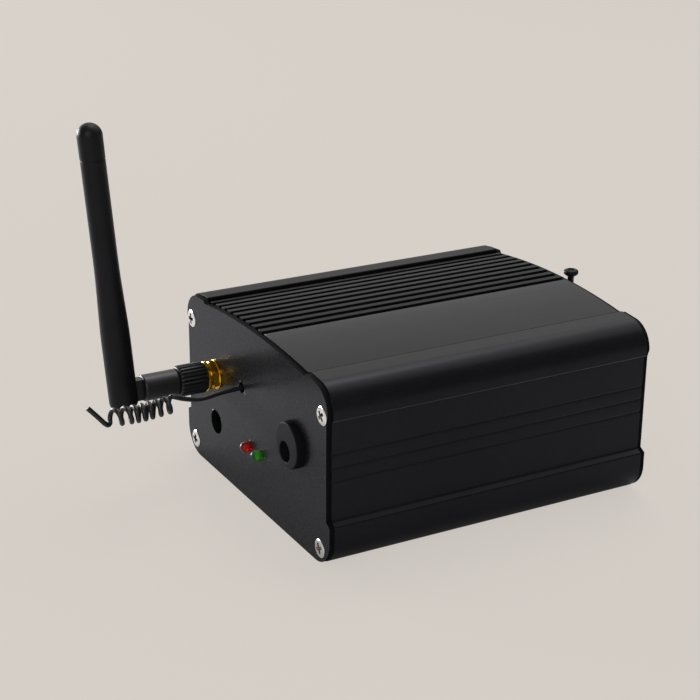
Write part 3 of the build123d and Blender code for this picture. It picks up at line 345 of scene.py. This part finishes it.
SLOT_FINISHES = {
    "case_black": CASE_BLACK,
    "plate_black": PLATE_BLACK,
    "screw_nickel": NICKEL,
    "bushing_black": BUSHING_BLACK,
    "lens_red": LENS_RED,
    "lens_green": LENS_GREEN,
    "gilt": GILT,
    "antenna_black": ANTENNA_BLACK,
    "knurl_black": KNURL_BLACK,
    "wire_black": WIRE_BLACK,
    "clamp_black": CLAMP_BLACK,
    "ptfe_white": PTFE,
    "bare_aluminium": ALUMINIUM,
    "lens_glass": glass("lens_glass"),
    "steel": STEEL,
    "led_white": LED_WHITE,
    "phosphor": PHOSPHOR,
    "board_green": BOARD_GREEN,
    "chip_black": CHIP_BLACK,
    "can_sleeve": CAN_SLEEVE,
    "connector_white": NYLON,
    "terminal_green": TERMINAL_GREEN,
    "coax_brown": COAX_BROWN,
}
for subpart in frame["record"]["subparts"]:
    node = frame["nodes"][subpart["node"]]
    node.data.materials.clear()
    node.data.materials.append(SLOT_FINISHES[subpart["material_slot"]])

bpy.ops.object.select_all(action="DESELECT")


# ------------------------------------------------------------------ coiled aerial wire
def coil_route():
    """Work out the helix: down the far side, under towards the near side, and over."""
    points = []
    first = COIL_DIPS[0] - (COIL_DIPS[1] - COIL_DIPS[0]) / 2
    bounds = [first] + [(a + b) / 2 for a, b in zip(COIL_DIPS, COIL_DIPS[1:])]
    for turn, (dip, height) in enumerate(zip(COIL_DIPS, COIL_HEIGHTS)):
        start = bounds[turn]
        last = turn == len(COIL_DIPS) - 1
        after = height if last else COIL_HEIGHTS[turn + 1]
        tilt = COIL_TILTS[turn]
        end = dip if last else bounds[turn + 1]
        for step in range(COIL_STEPS // 2 if last else COIL_STEPS):
            share = step / COIL_STEPS
            if share < 0.5:
                x = start + (dip - start) * share * 2
            else:
                x = dip + (end - dip) * (share * 2 - 1)
            angle = tau * share
            axis_z = height + (after - height) * share
            y = WIRE_Y + COIL_MEAN_R * sin(angle)
            points.append((x + tilt * sin(angle), y, axis_z + COIL_MEAN_R * cos(angle)))
    return points


def wire_curve(name, points, radius):
    """Lay a round wire along a smooth spline with these control points."""
    data = bpy.data.curves.new(name, "CURVE")
    data.dimensions = "3D"
    data.bevel_depth = radius * MM
    data.bevel_resolution = 5
    data.resolution_u = 5
    data.use_fill_caps = True
    spline = data.splines.new("NURBS")
    spline.points.add(len(points) - 1)
    for control, point in zip(spline.points, points):
        control.co = (*(Vector(point) * MM), 1.0)
    spline.order_u = 3
    spline.use_endpoint_u = True
    wire = bpy.data.objects.new(name, data)
    bpy.context.scene.collection.objects.link(wire)
    data.materials.append(WIRE_BLACK)
    return wire


aerial = wire_curve("aerial_wire", LEAD_ROUTE + coil_route() + TAIL_ROUTE, WIRE_R)
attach(aerial, "case")
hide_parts("aerial_lead", "aerial_coil", "aerial_tail")
tuple(c * MM for c in LEAD_ROUTE[0])


# ------------------------------------------------------------------ shaping by hand
def only(piece):
    """Select one piece alone and make it the active one."""
    bpy.ops.object.select_all(action="DESELECT")
    piece.select_set(True)
    bpy.context.view_layer.objects.active = piece


def clean_copy(node, name):
    """Copy a CAD node's mesh as one welded shell with whole flat faces."""
    mesh = frame["nodes"][node].data.copy()
    piece = bpy.data.objects.new(name, mesh)
    bpy.context.scene.collection.objects.link(piece)
    only(piece)
    bpy.ops.object.mode_set(mode="EDIT")
    bpy.ops.mesh.select_all(action="SELECT")
    bpy.ops.mesh.remove_doubles(threshold=WELD_GAP)
    bpy.ops.mesh.dissolve_limited(angle_limit=radians(0.5))
    bpy.ops.object.mode_set(mode="OBJECT")
    return piece


def round_edges(piece, wanted, width, segments=3):
    """Round the sharp edges whose ends, in millimetres, are wanted."""
    only(piece)
    bpy.ops.object.mode_set(mode="EDIT")
    bpy.ops.mesh.select_mode(type="EDGE")
    bpy.ops.mesh.select_all(action="DESELECT")
    bpy.ops.mesh.edges_select_sharp(sharpness=radians(25))
    bpy.ops.object.mode_set(mode="OBJECT")
    points = piece.data.vertices
    for edge in piece.data.edges:
        ends = [points[i].co / MM for i in edge.vertices]
        edge.select = edge.select and wanted(*ends)
    for other in (*points, *piece.data.polygons):
        other.select = False
    bpy.ops.object.mode_set(mode="EDIT")
    bpy.ops.mesh.bevel(offset=width * MM, segments=segments, affect="EDGES")
    bpy.ops.mesh.select_mode(type="VERT")
    bpy.ops.object.mode_set(mode="OBJECT")


def resize_points(piece, wanted, share, centre):
    """Resize the points that are wanted about a centre, all in millimetres."""
    for point in piece.data.vertices:
        point.select = wanted(point.co / MM)
    for other in (*piece.data.edges, *piece.data.polygons):
        other.select = False
    only(piece)
    bpy.ops.object.mode_set(mode="EDIT")
    bpy.ops.transform.resize(value=share, center_override=Vector(centre) * MM)
    bpy.ops.object.mode_set(mode="OBJECT")


def soften(piece, width, angle, segments=2):
    """Break every edge that is sharper than an angle with a small bevel."""
    bevel = piece.modifiers.new("soft_edges", "BEVEL")
    bevel.width = width * MM
    bevel.segments = segments
    bevel.limit_method = "ANGLE"
    bevel.angle_limit = radians(angle)
    bevel.use_clamp_overlap = False
    only(piece)
    bpy.ops.object.modifier_apply(modifier=bevel.name)


def boolean(piece, tool, operation):
    """Cut, cross or join a piece with a tool, which is used up."""
    work = piece.modifiers.new("tool_mark", "BOOLEAN")
    work.operation = operation
    work.solver = "EXACT"
    work.object = tool
    only(piece)
    bpy.ops.object.modifier_apply(modifier=work.name)
    bpy.data.objects.remove(tool)


def settle(piece):
    """Put a piece's place, turn and scale into its mesh."""
    only(piece)
    bpy.ops.object.transform_apply(location=True, rotation=True, scale=True)


def turned(name, origin, along, profile, steps=64):
    """Turn a piece on an axis: a ring is drawn out and resized, step by step.

    Each ring of the profile has its distance along the axis, its radius and, where it
    stands aside of the axis, the way there, all in millimetres. A profile that comes
    back to its first ring makes a hollow piece, and any other a solid one.
    """
    origin = Vector(origin)
    along = Vector(along).normalized()
    hollow = profile[0] == profile[-1]

    def ring_centre(distance, radius, aside=(0, 0, 0)):
        return (origin + along * distance + Vector(aside)) * MM

    bpy.ops.object.select_all(action="DESELECT")
    bpy.ops.mesh.primitive_circle_add(
        vertices=steps,
        radius=profile[0][1] * MM,
        fill_type="NOTHING" if hollow else "NGON",
        location=ring_centre(*profile[0]),
        rotation=along.to_track_quat("Z", "Y").to_euler(),
    )
    piece = bpy.context.object
    piece.name = name
    bpy.ops.object.mode_set(mode="EDIT")
    bpy.ops.mesh.select_all(action="SELECT")
    for before, ring in zip(profile, profile[1:]):
        centre = ring_centre(*ring)
        step = centre - ring_centre(*before)
        bpy.ops.mesh.extrude_region_move(TRANSFORM_OT_translate={"value": step})
        share = ring[1] / before[1]
        bpy.ops.transform.resize(value=(share, share, share), center_override=centre)
    bpy.ops.mesh.select_all(action="SELECT")
    bpy.ops.mesh.remove_doubles(threshold=WELD_GAP)
    bpy.ops.mesh.normals_make_consistent(inside=False)
    bpy.ops.object.mode_set(mode="OBJECT")
    settle(piece)
    return piece


def thread(start, end, outer, depth, pitch):
    """List the rings of a screw thread's crests and roots, from start to end."""
    turns = round(abs(end - start) / pitch)
    step = (end - start) / turns
    rings = []
    for turn in range(turns):
        at = start + turn * step
        rings.append((at + 0.15 * step, outer - depth))
        rings.append((at + 0.5 * step, outer))
        rings.append((at + 0.65 * step, outer))
    return rings


def block(name, low, high):
    """Add a block by its lowest and highest corners, in millimetres."""
    low, high = Vector(low), Vector(high)
    bpy.ops.object.select_all(action="DESELECT")
    bpy.ops.mesh.primitive_cube_add(size=1.0, location=(low + high) / 2 * MM)
    piece = bpy.context.object
    piece.name = name
    piece.scale = (high - low) * MM
    settle(piece)
    return piece


def welded(name, *pieces):
    """Join pieces into one object."""
    bpy.ops.object.select_all(action="DESELECT")
    for piece in pieces:
        piece.select_set(True)
    bpy.context.view_layer.objects.active = pieces[0]
    bpy.ops.object.join()
    pieces[0].name = name
    return pieces[0]


def paint(piece, finish, wanted):
    """Give the faces that are wanted, by their middle and normal, a second finish."""
    piece.data.materials.append(finish)
    slot = len(piece.data.materials) - 1
    for face in piece.data.polygons:
        if wanted(face.center / MM, face.normal):
            face.material_index = slot


def dress(piece, finish, body, node, smooth=35):
    """Finish a piece, shade it evenly, and let it ride and stand for its CAD node.

    Without a finish the piece keeps the ones that it was painted with.
    """
    if finish:
        piece.data.materials.clear()
        piece.data.materials.append(finish)
    only(piece)
    bpy.ops.object.shade_smooth_by_angle(angle=radians(smooth))
    even = piece.modifiers.new("even_shading", "WEIGHTED_NORMAL")
    even.keep_sharp = True
    bpy.ops.object.modifier_apply(modifier=even.name)
    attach(piece, body)
    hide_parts(node)


# ------------------------------------------------------------------ case
# The roof's lip hangs over the side walls, and its fins end at the last groove.
LIP_Y = 46.2
LIP_Z = 44.3
FINS_Z = 44.0
LAST_GROOVE_Y = -4.2
# The side grooves are opened at their mouths and narrowed at their floors.
WALL_Y = 45.65
GROOVE_LEVELS = (34.2, 30.15, 26.1)
MOUTH_SHARE = (1.0, 1.0, 1.45)
FLOOR_SHARE = (1.0, 1.001, 0.3)


def long_edges(low_z, high_z, far_y):
    """Make a test for the long outer edges of an extrusion between two heights."""

    def wanted(a, b):
        level = low_z < min(a.z, b.z) and max(a.z, b.z) < high_z
        return level and min(abs(a.y), abs(b.y)) > far_y and abs(a.x - b.x) > 50

    return wanted


roof = clean_copy("top_cover", "roof_extrusion")
cover_lip = long_edges(0.0, 44.1, 46.4)
round_edges(roof, cover_lip, 0.35)
soften(roof, 0.1, 50)
dress(roof, CASE_BLACK, "case", "top_cover")
paint(roof, FIN_BLACK, lambda at, normal: at.y > LAST_GROOVE_Y and at.z > FINS_Z)
# Painted highlight: the downward faces of the roof lip's rounding get the lighter anodising.
paint(roof, LIP_HIGHLIGHT, lambda at, normal: at.z < LIP_Z and abs(at.y) > LIP_Y and normal.z < 0)


def resize_groove(piece, level, low_y, high_y, share):
    """Resize the points of a side groove that lie between two distances from the middle."""

    def in_groove(at):
        return low_y < abs(at.y) < high_y and abs(at.z - level) < 0.6

    resize_points(piece, in_groove, share, (0, 0, level))


tray = clean_copy("base_tray", "tray_extrusion")
for groove_level in GROOVE_LEVELS:
    resize_groove(tray, groove_level, WALL_Y - 0.05, WALL_Y + 0.05, MOUTH_SHARE)
    resize_groove(tray, groove_level, WALL_Y - 0.5, WALL_Y - 0.1, FLOOR_SHARE)
flare_top = long_edges(14.3, 14.5, WALL_Y - 0.1)
flare_crest = long_edges(13.0, 13.6, 47.0)
round_edges(tray, flare_top, 0.6, 6)
round_edges(tray, flare_crest, 0.35, 4)
soften(tray, 0.1, 50)
dress(tray, CASE_BLACK, "case", "base_tray", smooth=42)


def end_plate(node, name, finish, outside):
    """Dress an end plate: its front edges are broken, and its edge faces get a darker, dull
    painted shade.
    """
    plate = clean_copy(node, name)
    front = PLATE_FACE - 0.01
    round_edges(plate, lambda a, b: min(a.x * outside, b.x * outside) > front, 0.14)
    dress(plate, finish, "case", node)
    # Painted shade: every face that does not face straight out, the edges and their rounding,
    # gets the darker dull finish.
    paint(plate, EDGE_SHADE, lambda at, normal: abs(normal.x) < 0.995)


end_plate("antenna_end_plate", "drilled_end_plate", DRILLED_PLATE, -1)
end_plate("fibre_end_plate", "port_end_plate", PLATE_BLACK, 1)


# ------------------------------------------------------------------ screws
def cross_cutter(top, reach, half):
    """Make the tapering cross that sinks a driver recess into a head, along +X."""
    floor = top - 1.5
    arms = []
    for turn in (0, pi / 2):
        arm = block("recess_arm", (floor, -half, -reach), (top + 1.0, half, reach))
        resize_points(arm, lambda at: at.x < floor + 0.1, (1.0, 0.5, 0.35), (floor, 0, 0))
        arm.rotation_euler.x = turn
        settle(arm)
        arms.append(arm)
    boolean(arms[0], arms[1], "UNION")
    return arms[0]


def case_screw(name, length):
    """Make one raised countersunk screw at the origin, with its head towards +X."""
    head = [(-1.5, 1.3), (-0.05, 2.72), (0.06, 2.75), (0.17, 2.64), (0.27, 2.35)]
    crown = [(0.35, 1.8), (0.38, 0.9), (0.39, 0.2)]
    shank = [(-length, 0.9), (-length + 0.15, 1.1)]
    ribs = thread(-length + 0.2, -1.9, 1.46, 0.26, 0.5)
    screw = turned(name, (0, 0, 0), (1, 0, 0), shank + ribs + head + crown, 48)
    boolean(screw, cross_cutter(0.4, 2.2, 0.6), "DIFFERENCE")
    screw.data.materials.clear()
    screw.data.materials.append(NICKEL)
    # Painted shade: the walls and floor of the cross recess get the dark brown metal.
    paint(screw, RECESS_SHADE, lambda at, normal: -1.3 < at.x < 0.25 and hypot(at.y, at.z) < 1.75)
    return screw


def screw_set(name, node, pattern, spots, facing):
    """Set a copy of the pattern screw in each place, each a little differently turned."""
    screws = []
    for count, spot in enumerate(spots):
        twist = Matrix.Rotation(radians(4 + 37 * count), 4, "X")
        screw = pattern.copy()
        screw.data = pattern.data.copy()
        bpy.context.scene.collection.objects.link(screw)
        screw.matrix_world = Matrix.Translation(Vector(spot) * MM) @ facing @ twist
        settle(screw)
        screws.append(screw)
    dress(welded(name, *screws), None, "case", node, smooth=40)


CORNERS = [(42.7, 44.9), (-42.7, 44.9), (41.7, 4.9), (-41.7, 4.9)]
pattern = case_screw("plate_screw", 10.0)
outward = Matrix.Rotation(pi, 4, "Z")
spots = [(-PLATE_FACE, y, z) for y, z in CORNERS]
screw_set("antenna_end_plate_screws", "antenna_end_screws", pattern, spots, outward)
spots = [(PLATE_FACE, y, z) for y, z in CORNERS]
screw_set("port_end_plate_screws", "fibre_end_screws", pattern, spots, Matrix())
bpy.data.objects.remove(pattern)

pattern = case_screw("foot_screw", 7.5)
downward = Matrix.Rotation(pi / 2, 4, "Y")
spots = [(3.0, -14.0, 0.42), (3.0, 14.0, 0.42)]
screw_set("underside_screws", "bracket_screws", pattern, spots, downward)
bpy.data.objects.remove(pattern)

# ------------------------------------------------------------------ lead bushing
BUSHING_SPOT = (-PLATE_FACE, -25.7, 29.9)
TAB_ASIDE = 6.1
TAB_HALF = 0.6
BORE_ASIDE = (0, 1.0, -2.3)
BUSHING_RINGS = [
    (-6.5, 5.7),
    (-6.2, 6.1),
    (0.0, 6.1),
    (0.0, 6.75),
    (0.1, 6.9),
    (1.55, 6.88),
    (1.9, 6.8),
    (2.1, 6.6),
    (2.2, 6.3),
    (2.2, 3.35, BORE_ASIDE),
    (2.1, 3.12, BORE_ASIDE),
    (1.85, 3.05, BORE_ASIDE),
    (-6.5, 3.05, BORE_ASIDE),
    (-6.5, 5.7),
]
bushing = turned("strain_relief_bushing", BUSHING_SPOT, OUT, BUSHING_RINGS, 96)
for aside in (-TAB_ASIDE, TAB_ASIDE):
    near_y = BUSHING_SPOT[1] + aside - TAB_HALF
    far_y = BUSHING_SPOT[1] + aside + TAB_HALF
    tab = block("snap_tab", (-51.9, near_y, 26.9), (-49.9, far_y, 32.9))
    soften(tab, 0.2, 40)
    boolean(bushing, tab, "UNION")
dress(bushing, BUSHING_BLACK, "case", "lead_bushing")
# Painted shade: the faces that do not face straight out, the flank and rim, get the darker
# dull rubber.
paint(bushing, BUSHING_FLANK_SHADE, lambda at, normal: abs(normal.x) < 0.9)


# ------------------------------------------------------------------ indicator lamps
def quarter_dome(start, radius):
    """List the rings of a rounded end."""
    angles = [radians(a) for a in range(0, 88, 8)]
    return [(start + radius * sin(a), radius * cos(a)) for a in angles]


LAMP_Y = 3.55
LAMP_Z = 17.5
LENS_RINGS = [(-2.3, 1.9), (-1.5, 1.9), (-1.5, 1.5), *quarter_dome(1.1, 1.5), (2.6, 0.06)]
CUP_RINGS = [(-1.6, 0.35), (0.2, 0.35), (0.25, 0.6), (0.6, 0.62), (0.6, 0.5), (0.4, 0.25)]
LEG_ASIDE = 1.27
LEG_HALF = 0.25
LEG_FRONT, LEG_BACK, LEG_FOOT = -51.2, -44.75, 9.6


def bent_leg(y):
    """Make a square wire leg that runs back from the lamp and down to the board."""
    left, right = y - LEG_HALF, y + LEG_HALF
    low, high = LAMP_Z - LEG_HALF, LAMP_Z + LEG_HALF
    drop_front = LEG_BACK - 2 * LEG_HALF
    leg = block("leg", (LEG_FRONT, left, low), (LEG_BACK, right, high))
    drop = block("leg_drop", (drop_front, left, LEG_FOOT), (LEG_BACK, right, high - 0.15))
    boolean(leg, drop, "UNION")
    soften(leg, 0.08, 40, 1)
    return leg


def indicator(name, node, finish, y):
    """Make a 3 mm lamp: a domed lens round a cup, on bent legs."""
    front = (-PLATE_FACE, y, LAMP_Z)
    lens = turned(name, front, OUT, LENS_RINGS, 40)
    dress(lens, finish, "case", node)
    cup = turned(name + "_wires", front, OUT, CUP_RINGS, 20)
    legs = [bent_leg(y - LEG_ASIDE), bent_leg(y + LEG_ASIDE)]
    dress(welded(name + "_wires", cup, *legs), STEEL, "case", node)


indicator("red_lamp", "red_led", LENS_RED, LAMP_Y)
indicator("green_lamp", "green_led", LENS_GREEN, -LAMP_Y)

# ------------------------------------------------------------------ antenna connector
JACK_RINGS = [
    (9.5, 2.3),
    (7.6, 2.3),
    (7.6, 2.05),
    (-5.5, 2.05),
    (-5.5, 0.95),
    (-9.0, 0.95),
    (-9.0, 2.2),
    (-8.8, 2.4),
    (-3.5, 2.4),
    (-3.5, 4.6),
    (-1.5, 4.6),
    (-1.5, 3.1),
    (0.2, 3.1),
    *thread(0.3, 9.25, 3.1, 0.25, 0.7),
    (9.5, 2.75),
    (9.5, 2.3),
]
jack = turned("threaded_jack", JACK, OUT, JACK_RINGS)
flats = turned("flats", JACK, OUT, [(-9.5, 4.62), (12.0, 4.62)], 6)
boolean(jack, flats, "INTERSECT")
dress(jack, GILT, "case", "sma_jack")

WASHER_RINGS = [
    (0.0, 3.2),
    (0.0, 4.4),
    (0.08, 4.5),
    (0.42, 4.5),
    (0.5, 4.4),
    (0.5, 3.2),
    (0.0, 3.2),
]
washer = turned("jack_washer", JACK, OUT, WASHER_RINGS)
dress(washer, GILT, "case", "sma_washer")

NUT_RINGS = [
    (0.5, 3.15),
    (0.5, 4.1),
    (0.85, 4.65),
    (2.15, 4.65),
    (2.5, 4.1),
    (2.5, 3.35),
    (2.35, 3.15),
    (0.5, 3.15),
]
nut = turned("jack_nut", JACK, OUT, NUT_RINGS, 96)
flats = turned("flats", JACK, OUT, [(0.0, 4.62), (3.0, 4.62)], 6)
boolean(nut, flats, "INTERSECT")
dress(nut, GILT, "case", "sma_nut", smooth=25)

# ------------------------------------------------------------------ antenna coupling
COUPLING_RINGS = [
    (2.9, 3.15),
    (2.9, 4.15),
    (3.0, 4.38),
    (3.15, 4.5),
    (3.8, 4.5),
    (3.92, 4.38),
    (4.0, 4.15),
    (4.0, 3.9),
    (11.3, 3.9),
    (11.3, 2.45),
    (10.5, 2.45),
    (10.5, 3.15),
    (2.9, 3.15),
]
coupling = turned("coupling_ring", JACK, OUT, COUPLING_RINGS, 72)
dress(coupling, GILT, "coupling", "coupling_nut")

RIBS = 24
RIB_STEPS = 6
FLUTES = ((0.91, (0,)), (0.955, (1, 5)))
SLEEVE_RINGS = [
    (4.1, 3.95),
    (4.1, 4.3),
    (4.2, 4.45),
    (4.4, 4.62),
    (4.8, 4.75),
    (11.9, 4.75),
    (12.3, 4.6),
    (12.6, 4.35),
    (12.8, 4.1),
    (12.8, 3.0),
    (11.35, 3.0),
    (11.35, 3.95),
    (4.1, 3.95),
]
sleeve = turned("ribbed_sleeve", JACK, OUT, SLEEVE_RINGS, RIBS * RIB_STEPS)


def sink_rows(piece, share, rows):
    """Draw in some rows of points between the ribs, counted round from each flute."""

    def in_flute(at):
        away = at - JACK
        row = round(atan2(away.z, away.y) / tau * RIBS * RIB_STEPS) % RIB_STEPS
        return row in rows and hypot(away.y, away.z) > 4.5

    resize_points(piece, in_flute, (1.0, share, share), JACK)


for flute_share, flute_rows in FLUTES:
    sink_rows(sleeve, flute_share, flute_rows)
dress(sleeve, KNURL_BLACK, "coupling", "coupling_sleeve", smooth=30)

# ------------------------------------------------------------------ antenna elbow
BARREL_RINGS = [
    (15.2, 2.4),
    (12.9, 2.42),
    (12.9, 3.6),
    (12.98, 3.82),
    (13.15, 3.96),
    (13.4, 4.0),
    (23.3, 4.0),
    (23.65, 3.92),
    (23.9, 3.7),
    (24.0, 3.4),
]
ACROSS = (0, 1, 0)
barrel = turned("elbow_barrel", JACK, OUT, BARREL_RINGS)
TONGUE_RINGS = [(-1.5, 3.15), (-1.35, 3.3), (1.35, 3.3), (1.5, 3.15)]
tongue = turned("hinge_tongue", HINGE, ACROSS, TONGUE_RINGS)
root = block("tongue_root", (-83.4, 24.3, 29.1), (-76.9, 27.3, 35.7))
soften(root, 0.15, 40)
boolean(tongue, root, "UNION")
eye = turned("tongue_eye", HINGE, ACROSS, [(-2.0, 1.05), (2.0, 1.05)], 32)
boolean(tongue, eye, "DIFFERENCE")
boolean(barrel, tongue, "UNION")
dress(barrel, ELBOW_BLACK, "antenna_arm", "antenna_barrel")

# ------------------------------------------------------------------ antenna blade
LEAN = radians(4.6)
UP = Vector((-sin(LEAN), 0, cos(LEAN)))
BLADE_RINGS = [
    (-5.15, 2.0),
    (-5.05, 2.75),
    (-4.7, 3.45),
    (-4.15, 3.95),
    (-3.5, 4.22),
    (-2.9, 4.28),
    (16.0, 4.28),
    (19.5, 4.24),
    (23.0, 4.12),
    (29.0, 3.9),
    (35.0, 3.69),
    (39.0, 3.61),
    (43.0, 3.58),
    (70.95, 3.58),
    (71.15, 3.45),
    (71.35, 3.45),
    (71.5, 3.62),
    *quarter_dome(78.0, 3.65),
    (81.64, 0.1),
]
blade = turned("antenna_blade_cover", HINGE, UP, BLADE_RINGS, 96)


def slot_corner(a, b):
    """Pick the slot's inner upper edge, which runs across the blade."""
    above = min(a.z, b.z) > HINGE.z and max(a.x, b.x) < HINGE.x
    return above and abs(a.y - b.y) > 2


slot = block("blade_slot", (-3.45, -1.7, -9.0), (9.0, 1.7, 3.45))
slot.rotation_euler.y = -LEAN
slot.location = HINGE * MM
settle(slot)
round_edges(slot, slot_corner, 3.4, 10)
boolean(blade, slot, "DIFFERENCE")
pin_way = turned("pin_way", HINGE, ACROSS, [(-3.65, 1.02), (3.65, 1.02)], 32)
boolean(blade, pin_way, "DIFFERENCE")
WIRE_WAY = [(2.0, 0.8), (8.0, 0.8), (8.0, 2.35), (60.0, 2.35), (61.4, 0.1)]
boolean(blade, turned("wire_way", HINGE, UP, WIRE_WAY, 32), "DIFFERENCE")
dress(blade, ANTENNA_BLACK, "blade", "antenna_blade")

PIN_RINGS = [(-3.6, 0.8), (-3.4, 1.0), (3.4, 1.0), (3.6, 0.8)]
pin = turned("turned_hinge_pin", HINGE, ACROSS, PIN_RINGS, 32)
dress(pin, STEEL, "blade", "hinge_pin")

# ------------------------------------------------------------------ fibre port
PORT_RINGS = [
    (36.0, 8.5),
    (36.0, 11.8),
    (36.2, 12.0),
    (53.4, 12.0),
    (53.4, 14.6),
    (53.55, 14.85),
    (53.9, 15.0),
    (60.2, 15.0),
    (60.9, 14.88),
    (61.5, 14.5),
    (61.88, 13.9),
    (62.0, 13.2),
    (62.0, 10.5),
    (61.85, 10.15),
    (61.5, 10.0),
    (37.0, 10.0),
    (37.0, 8.5),
    (36.0, 8.5),
]
CLAMP_X = 57.7
PORT_Z = 28.0
port = turned("turned_fibre_port", (0, 0, PORT_Z), (1, 0, 0), PORT_RINGS, 128)
tapping = turned("tapping", (CLAMP_X, 0, PORT_Z), (0, 0, 1), [(5.0, 1.3), (16.0, 1.3)], 32)
boolean(port, tapping, "DIFFERENCE")
dress(port, CLAMP_BLACK, "case", "fibre_port")

CLAMP_RINGS = [
    (38.0, 0.5),
    (38.02, 0.85),
    *thread(38.3, 49.8, 1.25, 0.18, 0.45),
    (50.3, 1.0),
    (53.7, 1.0),
    (53.95, 1.15),
    (54.35, 1.7),
    (54.7, 2.15),
    (54.95, 2.3),
    (55.6, 2.3),
    (55.9, 2.15),
    (56.1, 1.8),
    (56.18, 1.2),
    (56.2, 0.3),
]
clamp = turned("clamp_screw_turned", (CLAMP_X, 0, 0), (0, 0, 1), CLAMP_RINGS, 48)
cross = cross_cutter(0.2, 1.9, 0.5)
cross.rotation_euler.y = -pi / 2
cross.location = Vector((CLAMP_X, 0, 56.0)) * MM
settle(cross)
boolean(clamp, cross, "DIFFERENCE")
dress(clamp, CLAMP_BLACK, "clamp", "clamp_screw")


# ------------------------------------------------------------------ studio
PAPER = (0.665, 0.624, 0.578, 1.0)
NEUTRAL = (0.64, 0.64, 0.66, 1.0)
WHITE = (1.0, 1.0, 1.0, 1.0)
BRIGHT_SIDE = (0.29, 0.83, 0.48)


def studio_floor():
    """A pale sheet that shows the backdrop's own colour and keeps a soft shadow."""
    bpy.ops.object.select_all(action="DESELECT")
    bpy.ops.mesh.primitive_plane_add(size=12.0, location=(0, 0, -0.0002))
    floor = bpy.context.object
    floor.name = "studio_floor"
    finish = Finish("studio_paper")
    seen = finish.add("LightPath")["Is Camera Ray"]
    sheet = finish.tint(seen, NEUTRAL, PAPER)
    paper = finish.add("BsdfDiffuse", {}, {"Color": sheet})
    glow = finish.add("Emission", {}, {"Color": PAPER, "Strength": 1.0})
    mixed = finish.add("MixShader", {}, {0: seen * 0.85, 1: paper[0], 2: glow[0]})
    finish.add("OutputMaterial", {}, {"Surface": mixed[0]})
    floor.data.materials.append(finish.material)
    bpy.ops.object.select_all(action="DESELECT")


def studio_world():
    """Backdrop colour to the camera, and a soft light from above and behind to the rest."""
    world = bpy.data.worlds.new("studio")
    bpy.context.scene.world = world
    sky = Finish("studio", world)
    way = sky.add("TexCoord")["Generated"]
    ways = {0: way, 1: BRIGHT_SIDE}
    facing = sky.add("VectorMath", {"operation": "DOT_PRODUCT"}, ways)["Value"]
    level = sky.ramp(facing, 0.75, 0.97, 0.16, 1.0)
    light = sky.add("Background", {}, {"Color": WHITE, "Strength": level})
    backdrop = sky.add("Background", {}, {"Color": PAPER, "Strength": 1.0})
    seen = sky.add("LightPath")["Is Camera Ray"]
    mixed = sky.add("MixShader", {}, {0: seen, 1: light[0], 2: backdrop[0]})
    sky.add("OutputWorld", {}, {"Surface": mixed[0]})


def soft_lamp(name, place, target, width, height, power):
    """A rectangular soft lamp that faces a target."""
    data = bpy.data.lights.new(name, "AREA")
    data.shape = "RECTANGLE"
    data.size = width
    data.size_y = height
    data.energy = power
    lamp = bpy.data.objects.new(name, data)
    lamp.visible_camera = False
    bpy.context.scene.collection.objects.link(lamp)
    aim = Vector(target) - Vector(place)
    facing = aim.to_track_quat("-Z", "Y")
    lamp.matrix_world = Matrix.Translation(place) @ facing.to_matrix().to_4x4()


studio_floor()
studio_world()
soft_lamp("top_lamp", (0.35, 0.45, 1.6), (0, 0, 0.04), 0.8, 0.8, 9.0)
soft_lamp("right_lamp", (0.85, 0.15, 1.32), (0, 0, 0.04), 1.4, 1.4, 7.5)
soft_lamp("front_lamp", (-0.9, -1.0, 0.8), (-0.05, 0, 0.03), 0.8, 0.8, 8.0)
soft_lamp("low_lamp", (-0.6, 1.3, 0.16), (-0.05, 0, 0.03), 0.7, 0.25, 24.0)
bpy.context.scene.view_settings.view_transform = "Standard"
